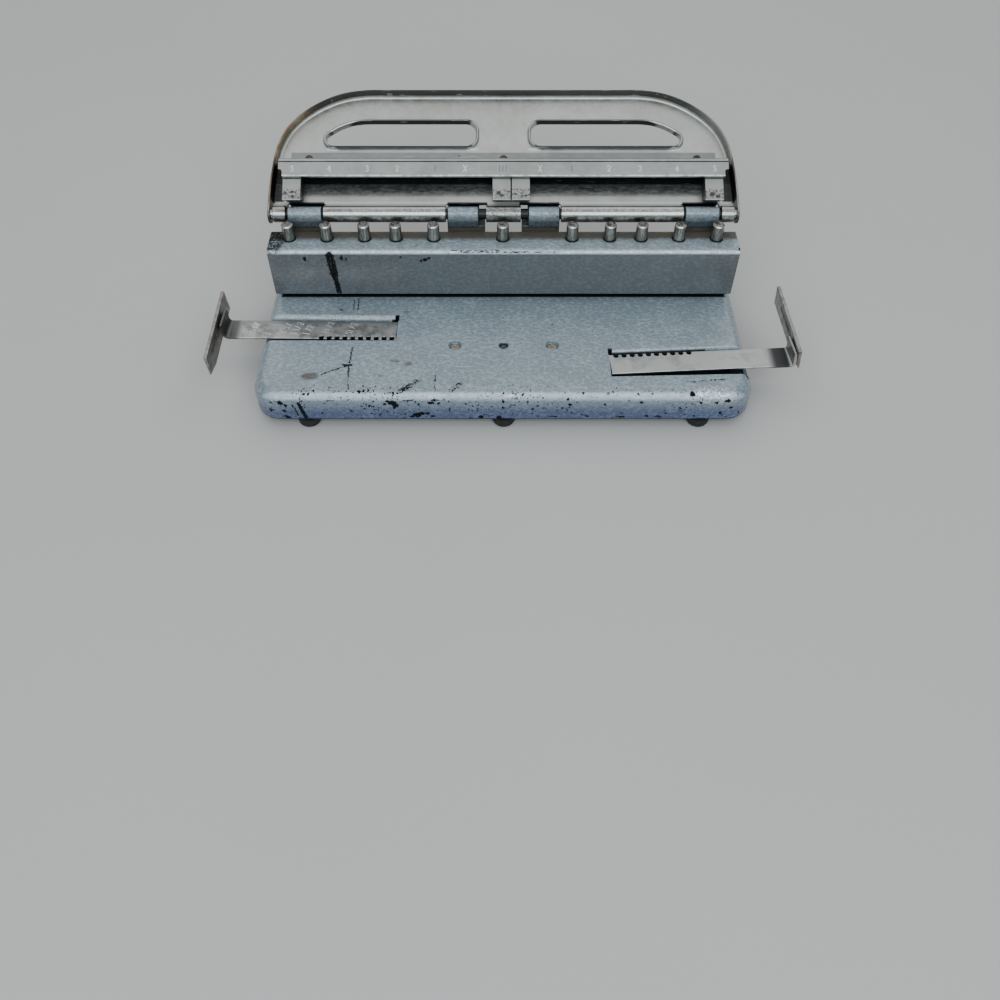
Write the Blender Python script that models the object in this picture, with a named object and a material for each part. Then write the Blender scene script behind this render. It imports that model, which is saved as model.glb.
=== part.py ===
# Adjustable desk paper punch with eleven punch positions, set for three holes.
# Metres, +Z up. X runs along the row of pins, -Y is the side the paper is fed
# from. The origin is the centre of the bounding box's bottom: the plane that
# the rubber feet stand on.
import bpy
import bmesh
from math import sin, cos, pi, radians, sqrt
from mathutils import Vector, Matrix

MM = 0.001

# ---------------------------------------------------------------- dimensions
# All values in millimetres. Depths (y) are counted from a line just in front
# of the pins' centres.
Y_SHIFT = 6.2            # puts that line this far behind the origin

PIN_DX = -0.3            # the row sits this far off the hood's middle
PIN_X = tuple(x + PIN_DX for x in (
    -107.95, -88.9, -69.85, -53.98, -34.93, 0.0,
    34.93, 53.98, 69.85, 88.9, 107.95))
PIN_Y = 0.9
PIN_R = 3.0
PIN_BORE_R = 3.3
PIN_TIP_Z = 24.9
PIN_TOP_Z = 59.35
PIN_COLLAR_R = 4.5
PIN_COLLAR_Z = (41.2, 43.8)

BASE_W = 241.9           # width over the sides
BASE_DX = -0.35
BASE_Y = (-81.6, 20.5)   # front and rear faces
BASE_Z = (5.0, 22.0)
BASE_R_FRONT = 12.5
BASE_R_REAR = 7.4
BASE_EDGE_R = 7.0
BASE_REAR_EDGE = 0.5     # share of that rounding kept along the rear edge
BASE_WALL = 4.0

HOOD_X = 118.5
HOOD_Y = (-9.9, 7.0)
HOOD_Z = (24.2, 50.9)
HOOD_EDGE_R = 2.6
PAPER_STOP_Y = 9.5
HOOD_FOOT_Y = 17.6

AXIS_Y = 11.1            # hinge axis behind the pins
AXIS_Z = 58.2
ROD_R = 2.6
BARREL_R = 4.1
BORE_R = 2.9
LEAN = radians(60.0)     # the handle leans back this far from upright

SHEET_BACK = -4.1        # handle sheet, along its own normal
SHEET_FRONT = -2.5
SHEET_T = 1.1
SHEET_BEND = 1.3         # inside radius where the flange turns forward
RIM_N = 2.5              # front edge of the flange round the top
EAR_N = 4.3              # front edge of the flange at the hinge

BLOCK_W = 9.3
BLOCK_X = (-106.7, -0.95, 8.75, 106.2)
BLOCK_NAMES = ("presser_outer_left", "presser_inner_left",
               "presser_inner_right", "presser_outer_right")
BLOCK_S = (4.9, 24.3)
BLOCK_N = (-2.1, 5.3)

BAR_HALF = 113.25
BAR_N = 7.5
RIVET_X = (-99.5, 0.0, 99.1)
RIVET_S = 30.3

STRIP_W = 13.2
STRIP_Z = (19.2, 20.4)
STOP_Z = (18.9, 30.0)
STOP_T = 1.7
TAB_Z = 27.7

FOOT_X = (-95.6, 0.0, 95.6)
FOOT_Y = (-77.3, 11.5)


# ------------------------------------------------------------------- helpers
def clear_scene():
    for ob in list(bpy.data.objects):
        bpy.data.objects.remove(ob, do_unlink=True)
    for me in list(bpy.data.meshes):
        bpy.data.meshes.remove(me)


MATERIALS = {}


def material(name, color, rough, metal):
    if name not in MATERIALS:
        m = bpy.data.materials.new(name)
        m.use_nodes = True
        b = m.node_tree.nodes["Principled BSDF"]
        b.inputs["Base Color"].default_value = (*color, 1.0)
        b.inputs["Roughness"].default_value = rough
        b.inputs["Metallic"].default_value = metal
        m.diffuse_color = (*color, 1.0)
        MATERIALS[name] = m
    return MATERIALS[name]


def world(x, y, z):
    """Millimetres from the drawing's line to metres from the origin."""
    return Vector((x * MM, (y + Y_SHIFT) * MM, z * MM))


def mesh_object(name, verts, faces, mat, smooth=35.0):
    me = bpy.data.meshes.new(name)
    me.from_pydata([tuple(v) for v in verts], [], faces)
    me.validate()
    bm = bmesh.new()
    bm.from_mesh(me)
    bmesh.ops.recalc_face_normals(bm, faces=bm.faces)
    bm.to_mesh(me)
    bm.free()
    ob = bpy.data.objects.new(name, me)
    bpy.context.scene.collection.objects.link(ob)
    if mat is not None:
        me.materials.append(mat)
    if smooth:
        me.shade_smooth()
        me.set_sharp_from_angle(angle=radians(smooth))
    return ob


def loft(name, rings, mat, closed_loop=False, smooth=35.0):
    """Skin a list of rings (same number of points each) into a solid."""
    n = len(rings[0])
    verts = [p for r in rings for p in r]
    faces = []
    m = len(rings)
    for i in range(m if closed_loop else m - 1):
        a, b = i * n, ((i + 1) % m) * n
        for j in range(n):
            k = (j + 1) % n
            faces.append((a + j, a + k, b + k, b + j))
    if not closed_loop:
        faces.append(tuple(range(n - 1, -1, -1)))
        faces.append(tuple(range((m - 1) * n, m * n)))
    return mesh_object(name, verts, faces, mat, smooth)


def prism_x(name, profile, x0, x1, mat, place=world, smooth=35.0):
    """Extrude a (y, z) profile along X."""
    return loft(name, [[place(x0, a, b) for a, b in profile],
                       [place(x1, a, b) for a, b in profile]], mat,
                smooth=smooth)


def box(name, x, y, z, mat=None, place=world):
    prof = [(y[0], z[0]), (y[1], z[0]), (y[1], z[1]), (y[0], z[1])]
    return prism_x(name, prof, x[0], x[1], mat, place, smooth=0)


def lathe(name, profile, segs, centre, mat, axis="Z", smooth=35.0):
    """Turn an (r, h) profile round an axis. The ends lie on the axis."""
    rings = []
    verts = []
    faces = []
    for r, h in profile:
        if r < 1e-6:
            rings.append([len(verts)])
            verts.append((0.0, 0.0, h))
        else:
            ids = []
            for k in range(segs):
                a = 2 * pi * (k + 0.5) / segs
                ids.append(len(verts))
                verts.append((r * cos(a), r * sin(a), h))
            rings.append(ids)
    for i in range(len(rings) - 1):
        a, b = rings[i], rings[i + 1]
        if len(a) == 1 and len(b) == 1:
            continue
        for k in range(segs):
            k2 = (k + 1) % segs
            if len(a) == 1:
                faces.append((a[0], b[k2], b[k]))
            elif len(b) == 1:
                faces.append((a[k], a[k2], b[0]))
            else:
                faces.append((a[k], a[k2], b[k2], b[k]))
    for end, flip in ((rings[0], True), (rings[-1], False)):
        if len(end) > 1:
            faces.append(tuple(reversed(end)) if flip else tuple(end))
    out = []
    for x, y, z in verts:
        if axis == "X":
            x, y, z = z, x, y
        elif axis == "Y":
            x, y, z = y, z, x
        out.append(world(centre[0] + x, centre[1] + y, centre[2] + z))
    return mesh_object(name, out, faces, mat, smooth)


def boolean(ob, tools, op="DIFFERENCE", smooth=35.0):
    """Apply Boolean modifiers to ob and remove the tool objects."""
    for t in tools:
        md = ob.modifiers.new("cut", "BOOLEAN")
        md.operation = op
        md.solver = "EXACT"
        md.object = t
    bpy.context.view_layer.update()
    dg = bpy.context.evaluated_depsgraph_get()
    me = bpy.data.meshes.new_from_object(ob.evaluated_get(dg))
    ob.modifiers.clear()
    old = ob.data
    ob.data = me
    bpy.data.meshes.remove(old)
    me.name = ob.name
    for t in tools:
        bpy.data.objects.remove(t, do_unlink=True)
    clean(ob, smooth)
    return ob


def clean(ob, smooth=35.0):
    """Weld near points and flatten slivers left by a cut."""
    bm = bmesh.new()
    bm.from_mesh(ob.data)
    bmesh.ops.remove_doubles(bm, verts=bm.verts, dist=0.000004)
    bmesh.ops.dissolve_degenerate(bm, edges=bm.edges, dist=0.000003)
    bmesh.ops.dissolve_limit(bm, angle_limit=radians(0.4), verts=bm.verts,
                             edges=bm.edges, delimit={"MATERIAL"})
    bmesh.ops.triangulate(bm, faces=[f for f in bm.faces if len(f.verts) > 4])
    bm.to_mesh(ob.data)
    bm.free()
    if smooth:
        ob.data.shade_smooth()
        ob.data.set_sharp_from_angle(angle=radians(smooth))


def set_origin(ob, x, y, z):
    """Move the object's origin without moving its surface."""
    p = world(x, y, z)
    ob.data.transform(Matrix.Translation(-p))
    ob.location = p


def spline(points, per=6):
    """Catmull-Rom curve through the points."""
    out = []
    n = len(points)
    for i in range(n - 1):
        p0 = Vector(points[max(i - 1, 0)])
        p1 = Vector(points[i])
        p2 = Vector(points[i + 1])
        p3 = Vector(points[min(i + 2, n - 1)])
        for k in range(per):
            t = k / per
            out.append(0.5 * ((2 * p1) + (p2 - p0) * t
                              + (2 * p0 - 5 * p1 + 4 * p2 - p3) * t * t
                              + (3 * p1 - p0 - 3 * p2 + p3) * t * t * t))
    out.append(Vector(points[-1]))
    return out


def offset_loop(pts, d):
    """Offset a closed counter-clockwise loop outward by d."""
    n = len(pts)
    out = []
    for i in range(n):
        a, b, c = pts[i - 1], pts[i], pts[(i + 1) % n]
        e1 = (b - a).normalized()
        e2 = (c - b).normalized()
        n1 = Vector((e1.y, -e1.x))
        n2 = Vector((e2.y, -e2.x))
        m = (n1 + n2).normalized()
        out.append(b + m * (d / max(0.3, m.dot(n1))))
    return out


def offset_open(pts, d):
    """Offset an open curve to its right by d."""
    out = []
    n = len(pts)
    for i in range(n):
        a = pts[max(i - 1, 0)]
        c = pts[min(i + 1, n - 1)]
        t = (c - a).normalized()
        out.append(pts[i] + Vector((t.y, -t.x)) * d)
    return out


def rounded_rect(hx, y0, y1, rf, rr, inset, steps=5):
    """Plan outline with its own front and rear corner radii."""
    pts = []
    hx -= inset
    y0 += inset
    y1 -= inset
    rf = max(rf - inset, 0.3)
    rr = max(rr - inset, 0.3)
    for cx, cy, r, a0 in ((hx - rf, y0 + rf, rf, -90), (hx - rr, y1 - rr, rr, 0),
                          (-hx + rr, y1 - rr, rr, 90), (-hx + rf, y0 + rf, rf, 180)):
        for k in range(steps + 1):
            a = radians(a0 + 90 * k / steps)
            pts.append((cx + r * cos(a), cy + r * sin(a)))
    return pts


# handle frame: x along the hinge, s up the sheet, n out of its front
S_DIR = Vector((0.0, sin(LEAN), cos(LEAN)))
N_DIR = Vector((0.0, -cos(LEAN), sin(LEAN)))


def on_handle(x, s, n):
    p = Vector((x, AXIS_Y, AXIS_Z)) + S_DIR * s + N_DIR * n
    return world(p.x, p.y, p.z)


# ---------------------------------------------------------------------- base
def make_base(enamel):
    rings = []
    for inset, z in ([(0.5, 5.0), (0.0, 5.6)]
                     + [(BASE_EDGE_R * (1 - cos(radians(a))),
                         22.0 - BASE_EDGE_R + BASE_EDGE_R * sin(radians(a)))
                        for a in (0, 22.5, 45, 67.5, 90)]):
        rear = BASE_Y[1] + (1 - BASE_REAR_EDGE) * inset
        rings.append([world(x + BASE_DX, y, z) for x, y in rounded_rect(
            BASE_W / 2, BASE_Y[0], rear, BASE_R_FRONT, BASE_R_REAR, inset)])
    base = loft("base", rings, enamel)

    # hollow underside: a deep front pocket, a shallower one under the dies
    def pocket(name, y0, y1, z1, rf, rr):
        return loft(name, [[world(x + BASE_DX, y, z) for x, y in rounded_rect(
            BASE_W / 2 - BASE_WALL, y0, y1, rf, rr, 0.0, 3)]
            for z in (4.0, z1)], None, smooth=0)

    front = pocket("cut_front", BASE_Y[0] + BASE_WALL, -12.5, 18.0, 9.0, 1.0)
    keep = [box("keep_trough_left", (-130, -48.5), (-47.0, -20.5), (11.5, 30)),
            box("keep_trough_right", (47.5, 130), (-72.5, -43.5), (11.5, 30))]
    for i, x in enumerate(FOOT_X):
        keep.append(lathe("keep_foot_%d" % i, [(7.0, 3.0), (7.0, 30.0)], 12,
                          (x, FOOT_Y[0], 0), None))
    for i, x in enumerate((-24.2, 24.2)):
        keep.append(lathe("keep_stud_%d" % i, [(4.5, 6.9), (4.5, 30.0)], 12,
                          (x, -46.7, 0), None))
    boolean(front, keep, smooth=0)
    rear = pocket("cut_rear", -12.8, 9.3, 13.0, 1.0, 1.0)
    keep = [lathe("keep_cs_%d" % i, [(4.5, 6.9), (4.5, 30.0)], 12,
                  (x, 5.0, 0), None) for i, x in enumerate((-62.0, 62.0))]
    boolean(rear, keep, smooth=0)
    chute = box("cut_chute", (-114.5, 114.5), (PIN_Y - 5.2, PIN_Y + 5.2),
                (12.5, 18.2))
    die = box("cut_die", (-116.8, 116.8), (PIN_Y - 7.6, PIN_Y + 7.6),
              (17.7, 23.0))

    # gauge slots: flat floor, upright front wall, eased rear lip
    def slot_cut(name, xa, fa, ra, la, xb, fb, rb, lb):
        def sec(x, f, r, l):
            return [world(x, f, 14.5), world(x, r, 14.5), world(x, r, 19.6),
                    world(x, r + (l - r) * 0.25, 20.9),
                    world(x, r + (l - r) * 0.62, 21.65),
                    world(x, l, 22.02), world(x, l, 24.0), world(x, f, 24.0)]
        return loft(name, [sec(xa, fa, ra, la), sec(xb, fb, rb, lb)], None,
                    smooth=0)
    slot_l = slot_cut("cut_slot_left", -53.7, -43.0, -26.6, -23.9,
                      -125.0, -43.0, -25.5, -22.9)
    slot_r = slot_cut("cut_slot_right", 52.0, -69.1, -51.9, -49.9,
                      125.0, -67.0, -47.3, -46.4)
    hole_l = lathe("cut_hole_left", [(1.5, 16.0), (1.5, 25.0)], 12,
                   (-54.9, -25.2, 0), None)
    hole_r = lathe("cut_hole_right", [(1.5, 16.0), (1.5, 25.0)], 12,
                   (53.2, -51.4, 0), None)

    cuts = [front, rear, chute, die, slot_l, slot_r, hole_l, hole_r]
    # dimples: two countersunk stud heads and an open centre hole
    for i, x in enumerate((-24.2, 24.2)):
        cuts.append(lathe("cut_stud_%d" % i,
                          [(1.9, 4.0), (1.9, 19.4), (3.3, 20.8), (3.3, 23.0)],
                          12, (x, -46.7, 0), None))
    cuts.append(lathe("cut_centre", [(1.6, 17.0), (1.6, 20.6), (2.6, 21.6),
                                     (2.6, 23.0)], 12, (0.0, -46.7, 0), None))
    for i, x in enumerate((-62.0, 62.0)):
        cuts.append(lathe("cut_cs_%d" % i, [(1.9, 4.0), (1.9, 11.6)], 10,
                          (x, 5.0, 0), None))
    for i, x in enumerate((-104.0, -36.0, 36.0, 104.0)):
        cuts.append(lathe("cut_hs_%d" % i,
                          [(4.1, 4.0), (4.1, 11.0), (2.2, 11.0), (2.2, 23.0)],
                          12, (x, 13.6, 0), None))
    for i, x in enumerate(FOOT_X):
        cuts.append(lathe("cut_ff_%d" % i, [(2.4, 4.0), (2.4, 9.6)], 10,
                          (x, FOOT_Y[0], 0), None))
    for i, x in enumerate((-70.0, 0.0, 70.0)):
        cuts.append(lathe("cut_rf_%d" % i, [(2.4, 4.0), (2.4, 9.6)], 10,
                          (x, 14.2, 0), None))
    boolean(base, cuts)
    # pedestals in the slots that carry the gauge strips
    pads = []
    for n, x0, x1, y0, y1 in (("pad_a", -63.0, -58.5, -38.5, -28.5),
                              ("pad_b", -117.0, -112.5, -38.0, -28.0),
                              ("pad_c", 57.5, 62.0, -63.5, -54.5),
                              ("pad_d", 111.5, 116.0, -60.0, -51.5)):
        pads.append(box(n, (x0, x1), (y0, y1), (13.5, 18.9)))
    boolean(base, pads, "UNION")
    return base


# ---------------------------------------------------------------------- hood
OUTER_LUG = (91.55, 109.1)
INNER_LUG = (12.45, 28.4)
LUG_R = 3.55


def make_hood(enamel):
    r = HOOD_EDGE_R
    front_top = [(HOOD_Y[0] + r - r * cos(radians(a)),
                  HOOD_Z[1] - r + r * sin(radians(a)))
                 for a in (0, 30, 60, 90)]
    profile = ([(PAPER_STOP_Y, HOOD_Z[0]), (HOOD_Y[0] + 0.5, HOOD_Z[0]),
                (HOOD_Y[0], HOOD_Z[0] + 0.5)] + front_top
               + [(HOOD_Y[1] - 0.4, HOOD_Z[1]), (HOOD_Y[1], HOOD_Z[1] - 0.5),
                  (HOOD_Y[1] + 1.2, 40.0), (13.2, 36.5), (16.6, 34.2),
                  (HOOD_FOOT_Y, 31.8), (HOOD_FOOT_Y, 22.3),
                  (PAPER_STOP_Y, 22.3)])
    hood = prism_x("hood", profile, -HOOD_X, HOOD_X, enamel)

    # lugs: an eye round the rod, a neck, a rib down the back and a heel
    # that the handle rests on when it is laid back
    def lug_profile():
        pts = []
        for a in range(-10, 181, 19):
            aa = radians(180 - a)
            pts.append((AXIS_Y + LUG_R * cos(aa), AXIS_Z + LUG_R * sin(aa)))
        heel = Vector((AXIS_Y, AXIS_Z)) + Vector((S_DIR.y, S_DIR.z)) * 11.5 \
            + Vector((N_DIR.y, N_DIR.z)) * (SHEET_BACK - 0.4)
        heel0 = Vector((AXIS_Y, AXIS_Z)) + Vector((S_DIR.y, S_DIR.z)) * 7.6 \
            + Vector((N_DIR.y, N_DIR.z)) * (SHEET_BACK - 0.4)
        pts += [(AXIS_Y + LUG_R, AXIS_Z - 2.6), (heel0.x, heel0.y),
                (heel.x, heel.y), (heel.x + 0.6, heel.y - 1.2),
                (16.9, 46.0), (16.4, 33.0), (8.0, 33.0), (8.0, 44.0),
                (AXIS_Y - LUG_R, 44.0)]
        return pts

    adds = []
    for sgn in (-1, 1):
        for nm, (a, b) in (("outer", OUTER_LUG), ("inner", INNER_LUG)):
            x0, x1 = sorted((sgn * a, sgn * b))
            adds.append(prism_x("add_%s_%d" % (nm, sgn), lug_profile(),
                                x0, x1, enamel))
        # the inner lug's neck is wider than its eye, towards the middle
        x0, x1 = sorted((sgn * 9.3, sgn * 14.0))
        adds.append(prism_x("add_neck_%d" % sgn,
                            [(AXIS_Y - 3.3, 44.0), (AXIS_Y - 3.3, 53.4),
                             (AXIS_Y + 3.3, 53.4), (AXIS_Y + 3.3, 44.0)],
                            x0, x1, enamel))
    boolean(hood, adds, "UNION")

    cuts = [box("cut_guide", (-114.6, 114.6), (PIN_Y - 6.6, PIN_Y + 6.6),
                (23.0, 28.1))]
    for i, x in enumerate(PIN_X):
        cuts.append(lathe("cut_bore_%d" % i,
                          [(4.95, 26.0), (4.95, 44.2), (PIN_BORE_R, 44.2),
                           (PIN_BORE_R, 52.0)], 12, (x, PIN_Y, 0), None))
    for i, x in enumerate((-104.0, -36.0, 36.0, 104.0)):
        cuts.append(lathe("cut_hs_%d" % i, [(2.2, 21.0), (2.2, 30.5)], 12,
                          (x, 13.6, 0), None))
    cuts.append(lathe("cut_rod", [(BORE_R, -112.0), (BORE_R, 112.0)], 14,
                      (0, AXIS_Y, AXIS_Z), None, axis="X"))
    boolean(hood, cuts)
    return hood


# ------------------------------------------------- plates, pins, small parts
def make_bar_with_holes(name, hx, hy, z, hole_r, mat, segs=12):
    ob = box(name, (-hx, hx), (PIN_Y - hy, PIN_Y + hy), z, mat)
    cuts = [lathe("cut_%s_%d" % (name, i), [(hole_r, z[0] - 1),
                                            (hole_r, z[1] + 1)], segs,
                  (x, PIN_Y, 0), None) for i, x in enumerate(PIN_X)]
    return boolean(ob, cuts)


def make_pin(i, x, steel):
    prof = [(0, PIN_TIP_Z + 0.8), (1.6, PIN_TIP_Z + 0.5),
            (PIN_R, PIN_TIP_Z),
            (PIN_R, PIN_COLLAR_Z[0]), (PIN_COLLAR_R, PIN_COLLAR_Z[0]),
            (PIN_COLLAR_R, PIN_COLLAR_Z[1]), (PIN_R, PIN_COLLAR_Z[1]),
            (PIN_R, PIN_TOP_Z - 0.65), (PIN_R - 0.65, PIN_TOP_Z),
            (0, PIN_TOP_Z - 0.05)]
    ob = lathe("punch_pin_%02d" % (i + 1), prof, 12, (x, PIN_Y, 0), steel)
    set_origin(ob, x, PIN_Y, PIN_TIP_Z)
    return ob


def make_pin_spring(i, x, steel):
    """Compression spring between the guide plate and the pin's collar."""
    turns, per, wire, mean = 4.5, 6, 0.45, 3.95
    z0, z1 = 28.15 + wire, PIN_COLLAR_Z[0] - 0.25 - wire
    rings = []
    total = int(turns * per)
    for k in range(total + 1):
        t = k / total
        a = 2 * pi * turns * t
        c = Vector((x + mean * cos(a), PIN_Y + mean * sin(a),
                    z0 + (z1 - z0) * t))
        tangent = Vector((-sin(a), cos(a), 0.0))
        out = Vector((cos(a), sin(a), 0.0))
        up = Vector((0, 0, 1))
        ring = []
        for j in range(4):
            b = 2 * pi * (j + 0.5) / 4
            ring.append(c + (out * cos(b) + up * sin(b)) * wire * 1.12)
        rings.append([world(*p) for p in ring])
    return loft("pin_spring_%02d" % (i + 1), rings, steel, smooth=60)


def make_foot(name, x, y, rubber):
    prof = [(0, 0), (4.4, 0), (5.3, 0.7), (5.8, 2.0), (5.8, 4.7), (2.1, 4.7),
            (2.1, 8.9), (0, 9.1)]
    return lathe(name, prof, 16, (x, y, 0), rubber)


def make_cover(mat):
    cover = loft("bottom_cover", [[world(x + BASE_DX, y, z) for x, y in rounded_rect(
        BASE_W / 2 - BASE_WALL - 0.5, BASE_Y[0] + BASE_WALL + 0.5, 8.8, 8.5,
        1.0, 0.0, 3)] for z in (5.4, 6.4)], mat)
    cuts = []
    for i, x in enumerate(FOOT_X):
        cuts.append(lathe("cut_cf_%d" % i, [(7.4, 4.0), (7.4, 8.0)], 12,
                          (x, FOOT_Y[0], 0), None))
    for i, (x, y) in enumerate(((-24.2, -46.7), (24.2, -46.7),
                                (-62.0, 5.0), (62.0, 5.0))):
        cuts.append(lathe("cut_cc_%d" % i, [(1.9, 4.0), (1.9, 8.0)], 10,
                          (x, y, 0), None))
    return boolean(cover, cuts)


# -------------------------------------------------------------------- handle
# outer outline of the right half, from the ear up and over to the middle
OUTLINE = ((118.7, -6.0), (118.7, 0.0), (118.6, 7.0), (118.0, 17.0),
           (117.3, 25.0), (116.2, 33.0), (114.2, 39.5), (110.9, 46.0),
           (106.2, 51.5), (99.9, 56.7), (91.8, 61.5), (82.0, 65.2),
           (71.0, 66.9), (60.0, 67.0))


def rim_depth(s):
    """Front edge of the flange: deep at the ears, shallow round the top."""
    if s < 9.0:
        return EAR_N
    if s > 36.0:
        return RIM_N
    t = (s - 9.0) / 27.0
    return EAR_N + (RIM_N - EAR_N) * t * t * (3 - 2 * t)


def handle_outline(per=2):
    half = spline(OUTLINE, per)
    left = [Vector((-p.x, p.y)) for p in reversed(half)]
    return half + left          # runs counter-clockwise, ear to ear


def slot_outline(sgn, steps=4):
    """Opening of a hand slot, counter-clockwise."""
    pts = []
    r = 5.2
    lo, hi, inner, tip = 38.0, 51.4, 14.2, 91.4
    for cx, cy, a0 in ((inner + r, lo + r, 180), ):
        for k in range(steps + 1):
            a = radians(a0 + 90 * k / steps)
            pts.append(Vector((cx + r * cos(a), cy + r * sin(a))))
    r2 = 3.6
    for k in range(steps + 2):
        a = radians(-90 + 150 * k / (steps + 1))
        pts.append(Vector((tip - r2 + r2 * cos(a) - 0.2, lo + r2 + 0.1
                           + r2 * sin(a))))
    pts += [Vector(p) for p in ((86.5, 46.7), (82.0, 49.0), (77.0, 50.6),
                                (71.5, 51.3))]
    for k in range(1, steps + 1):
        a = radians(90 + 90 * k / steps)
        pts.append(Vector((inner + r + r * cos(a), hi - r + r * sin(a))))
    pts.insert(len(pts) - steps, Vector((inner + r, hi)))
    if sgn < 0:
        pts = [Vector((-p.x, p.y)) for p in reversed(pts)]
    return pts


def make_handle(nickel):
    outer = handle_outline()
    back = offset_open(outer, -1.0)
    inner = offset_open(outer, -SHEET_T)
    fillet = offset_open(outer, -SHEET_T - SHEET_BEND)

    def ring(pts, n):
        return [on_handle(p.x, p.y, n) for p in pts]
    rims = [rim_depth(p.y) for p in outer]
    rings = [ring(back, SHEET_BACK), ring(outer, SHEET_BACK + 1.0),
             [on_handle(p.x, p.y, d) for p, d in zip(outer, rims)],
             [on_handle(p.x, p.y, d) for p, d in zip(inner, rims)],
             ring(inner, SHEET_FRONT + SHEET_BEND), ring(fillet, SHEET_FRONT)]
    handle = loft("handle", rings, nickel)

    # take away the sheet between the ears, round the ears' lower ends
    gone = box("cut_low", (-117.5, 117.5), (-9.0, -0.4), (-9.0, 9.0), None,
               place=lambda x, a, b: on_handle(x, a, b))
    cuts = [gone]
    for sgn in (-1, 1):
        prof = [(-9.0, -9.0), (-0.6, -9.0), (-0.6, -4.35)]
        for k in range(9):
            a = radians(270 - 180 * k / 8)
            prof.append((-0.6 + 3.9 * cos(a), 4.35 * sin(a)))
        prof += [(-0.6, 9.0), (-9.0, 9.0)]
        x0, x1 = sorted((sgn * 115.0, sgn * 121.0))
        cuts.append(prism_x("cut_ear_%d" % sgn, prof, x0, x1, None,
                            place=lambda x, a, b: on_handle(x, a, b),
                            smooth=0))
    # windows for the lugs
    for sgn in (-1, 1):
        for a, b in ((OUTER_LUG[0] - 0.8, OUTER_LUG[1] + 0.8),
                     (8.75, INNER_LUG[1] + 0.8)):
            x0, x1 = sorted((sgn * a, sgn * b))
            cuts.append(box("cut_win_%d_%d" % (sgn, int(a)), (x0, x1),
                            (-6.0, 6.75), (-9.0, 9.0), None,
                            place=lambda x, p, q: on_handle(x, p, q)))
    boolean(handle, cuts)

    # hinge barrels rolled from the sheet
    def barrel_profile():
        pts = [(10.5, SHEET_BACK + 0.06), (0.0, SHEET_BACK + 0.0)]
        for k in range(1, 15):
            a = radians(270 - 20.5 * k)
            pts.append((BARREL_R * cos(a), BARREL_R * sin(a)))
        pts += [(3.7, SHEET_FRONT - 0.06), (10.5, SHEET_FRONT - 0.06)]
        return pts
    adds = []
    spans = [(-8.75, 8.75)]
    for sgn in (-1, 1):
        spans.append(tuple(sorted((sgn * 29.2, sgn * 90.75))))
        spans.append(tuple(sorted((sgn * 109.9, sgn * 116.4))))
    for i, (x0, x1) in enumerate(spans):
        adds.append(prism_x("add_barrel_%d" % i, barrel_profile(), x0, x1,
                            nickel, place=lambda x, a, b: on_handle(x, a, b)))
    for sgn in (-1, 1):
        hole = [Vector(p) for p in slot_outline(sgn)]
        cut_pts = offset_loop(hole, 0.3)
        cutter = loft("cut_hand_%d" % sgn,
                      [[on_handle(p.x, p.y, n) for p in cut_pts]
                       for n in (-9.0, 3.0)], None, smooth=0)
        boolean(handle, [cutter])
        section = ((0.0, -4.02), (0.0, -1.4), (0.45, -0.9), (1.05, -0.95),
                   (1.6, -1.6), (1.85, -2.7), (1.85, -4.02))
        loops = [offset_loop(hole, d) for d, n in section]
        rings = []
        for k in range(len(hole)):
            rings.append([on_handle(loops[j][k].x, loops[j][k].y,
                                    section[j][1])
                          for j in range(len(section))])
        adds.append(loft("add_rim_%d" % sgn, rings, nickel, closed_loop=True))
    boolean(handle, adds, "UNION")
    bores = [lathe("cut_rodway", [(BORE_R, -122.0), (BORE_R, 122.0)], 14,
                   (0, AXIS_Y, AXIS_Z), None, axis="X")]
    for i, x in enumerate(RIVET_X):
        bores.append(rivet_shape("cut_rivet_%d" % i, x, 1.35, 1.35,
                                 (-6.0, 0.5), None))
    boolean(handle, bores)
    set_origin(handle, 0, AXIS_Y, AXIS_Z)
    return handle


def rivet_shape(name, x, r, head_r, n_span, mat, head=0.0):
    """A turned stem along the sheet's normal, with an optional domed head."""
    n0, n1 = n_span
    prof = [(r, n0), (r, n1)]
    if head:
        prof = [(0, n0), (r, n0), (r, n1), (head_r, n1),
                (head_r * 0.93, n1 + head * 0.45),
                (head_r * 0.6, n1 + head * 0.85), (0, n1 + head)]
    segs = 12
    verts, faces, rings = [], [], []
    for rr, h in prof:
        if rr < 1e-6:
            rings.append([len(verts)])
            verts.append(on_handle(x, RIVET_S, h))
            continue
        ids = []
        for k in range(segs):
            a = 2 * pi * (k + 0.5) / segs
            ids.append(len(verts))
            verts.append(on_handle(x + rr * cos(a), RIVET_S + rr * sin(a), h))
        rings.append(ids)
    for i in range(len(rings) - 1):
        a, b = rings[i], rings[i + 1]
        for k in range(segs):
            k2 = (k + 1) % segs
            if len(a) == 1:
                faces.append((a[0], b[k2], b[k]))
            elif len(b) == 1:
                faces.append((a[k], a[k2], b[0]))
            else:
                faces.append((a[k], a[k2], b[k2], b[k]))
    if len(rings[0]) > 1:
        faces.append(tuple(reversed(rings[0])))
    if len(rings[-1]) > 1:
        faces.append(tuple(rings[-1]))
    return mesh_object(name, verts, faces, mat)


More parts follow.
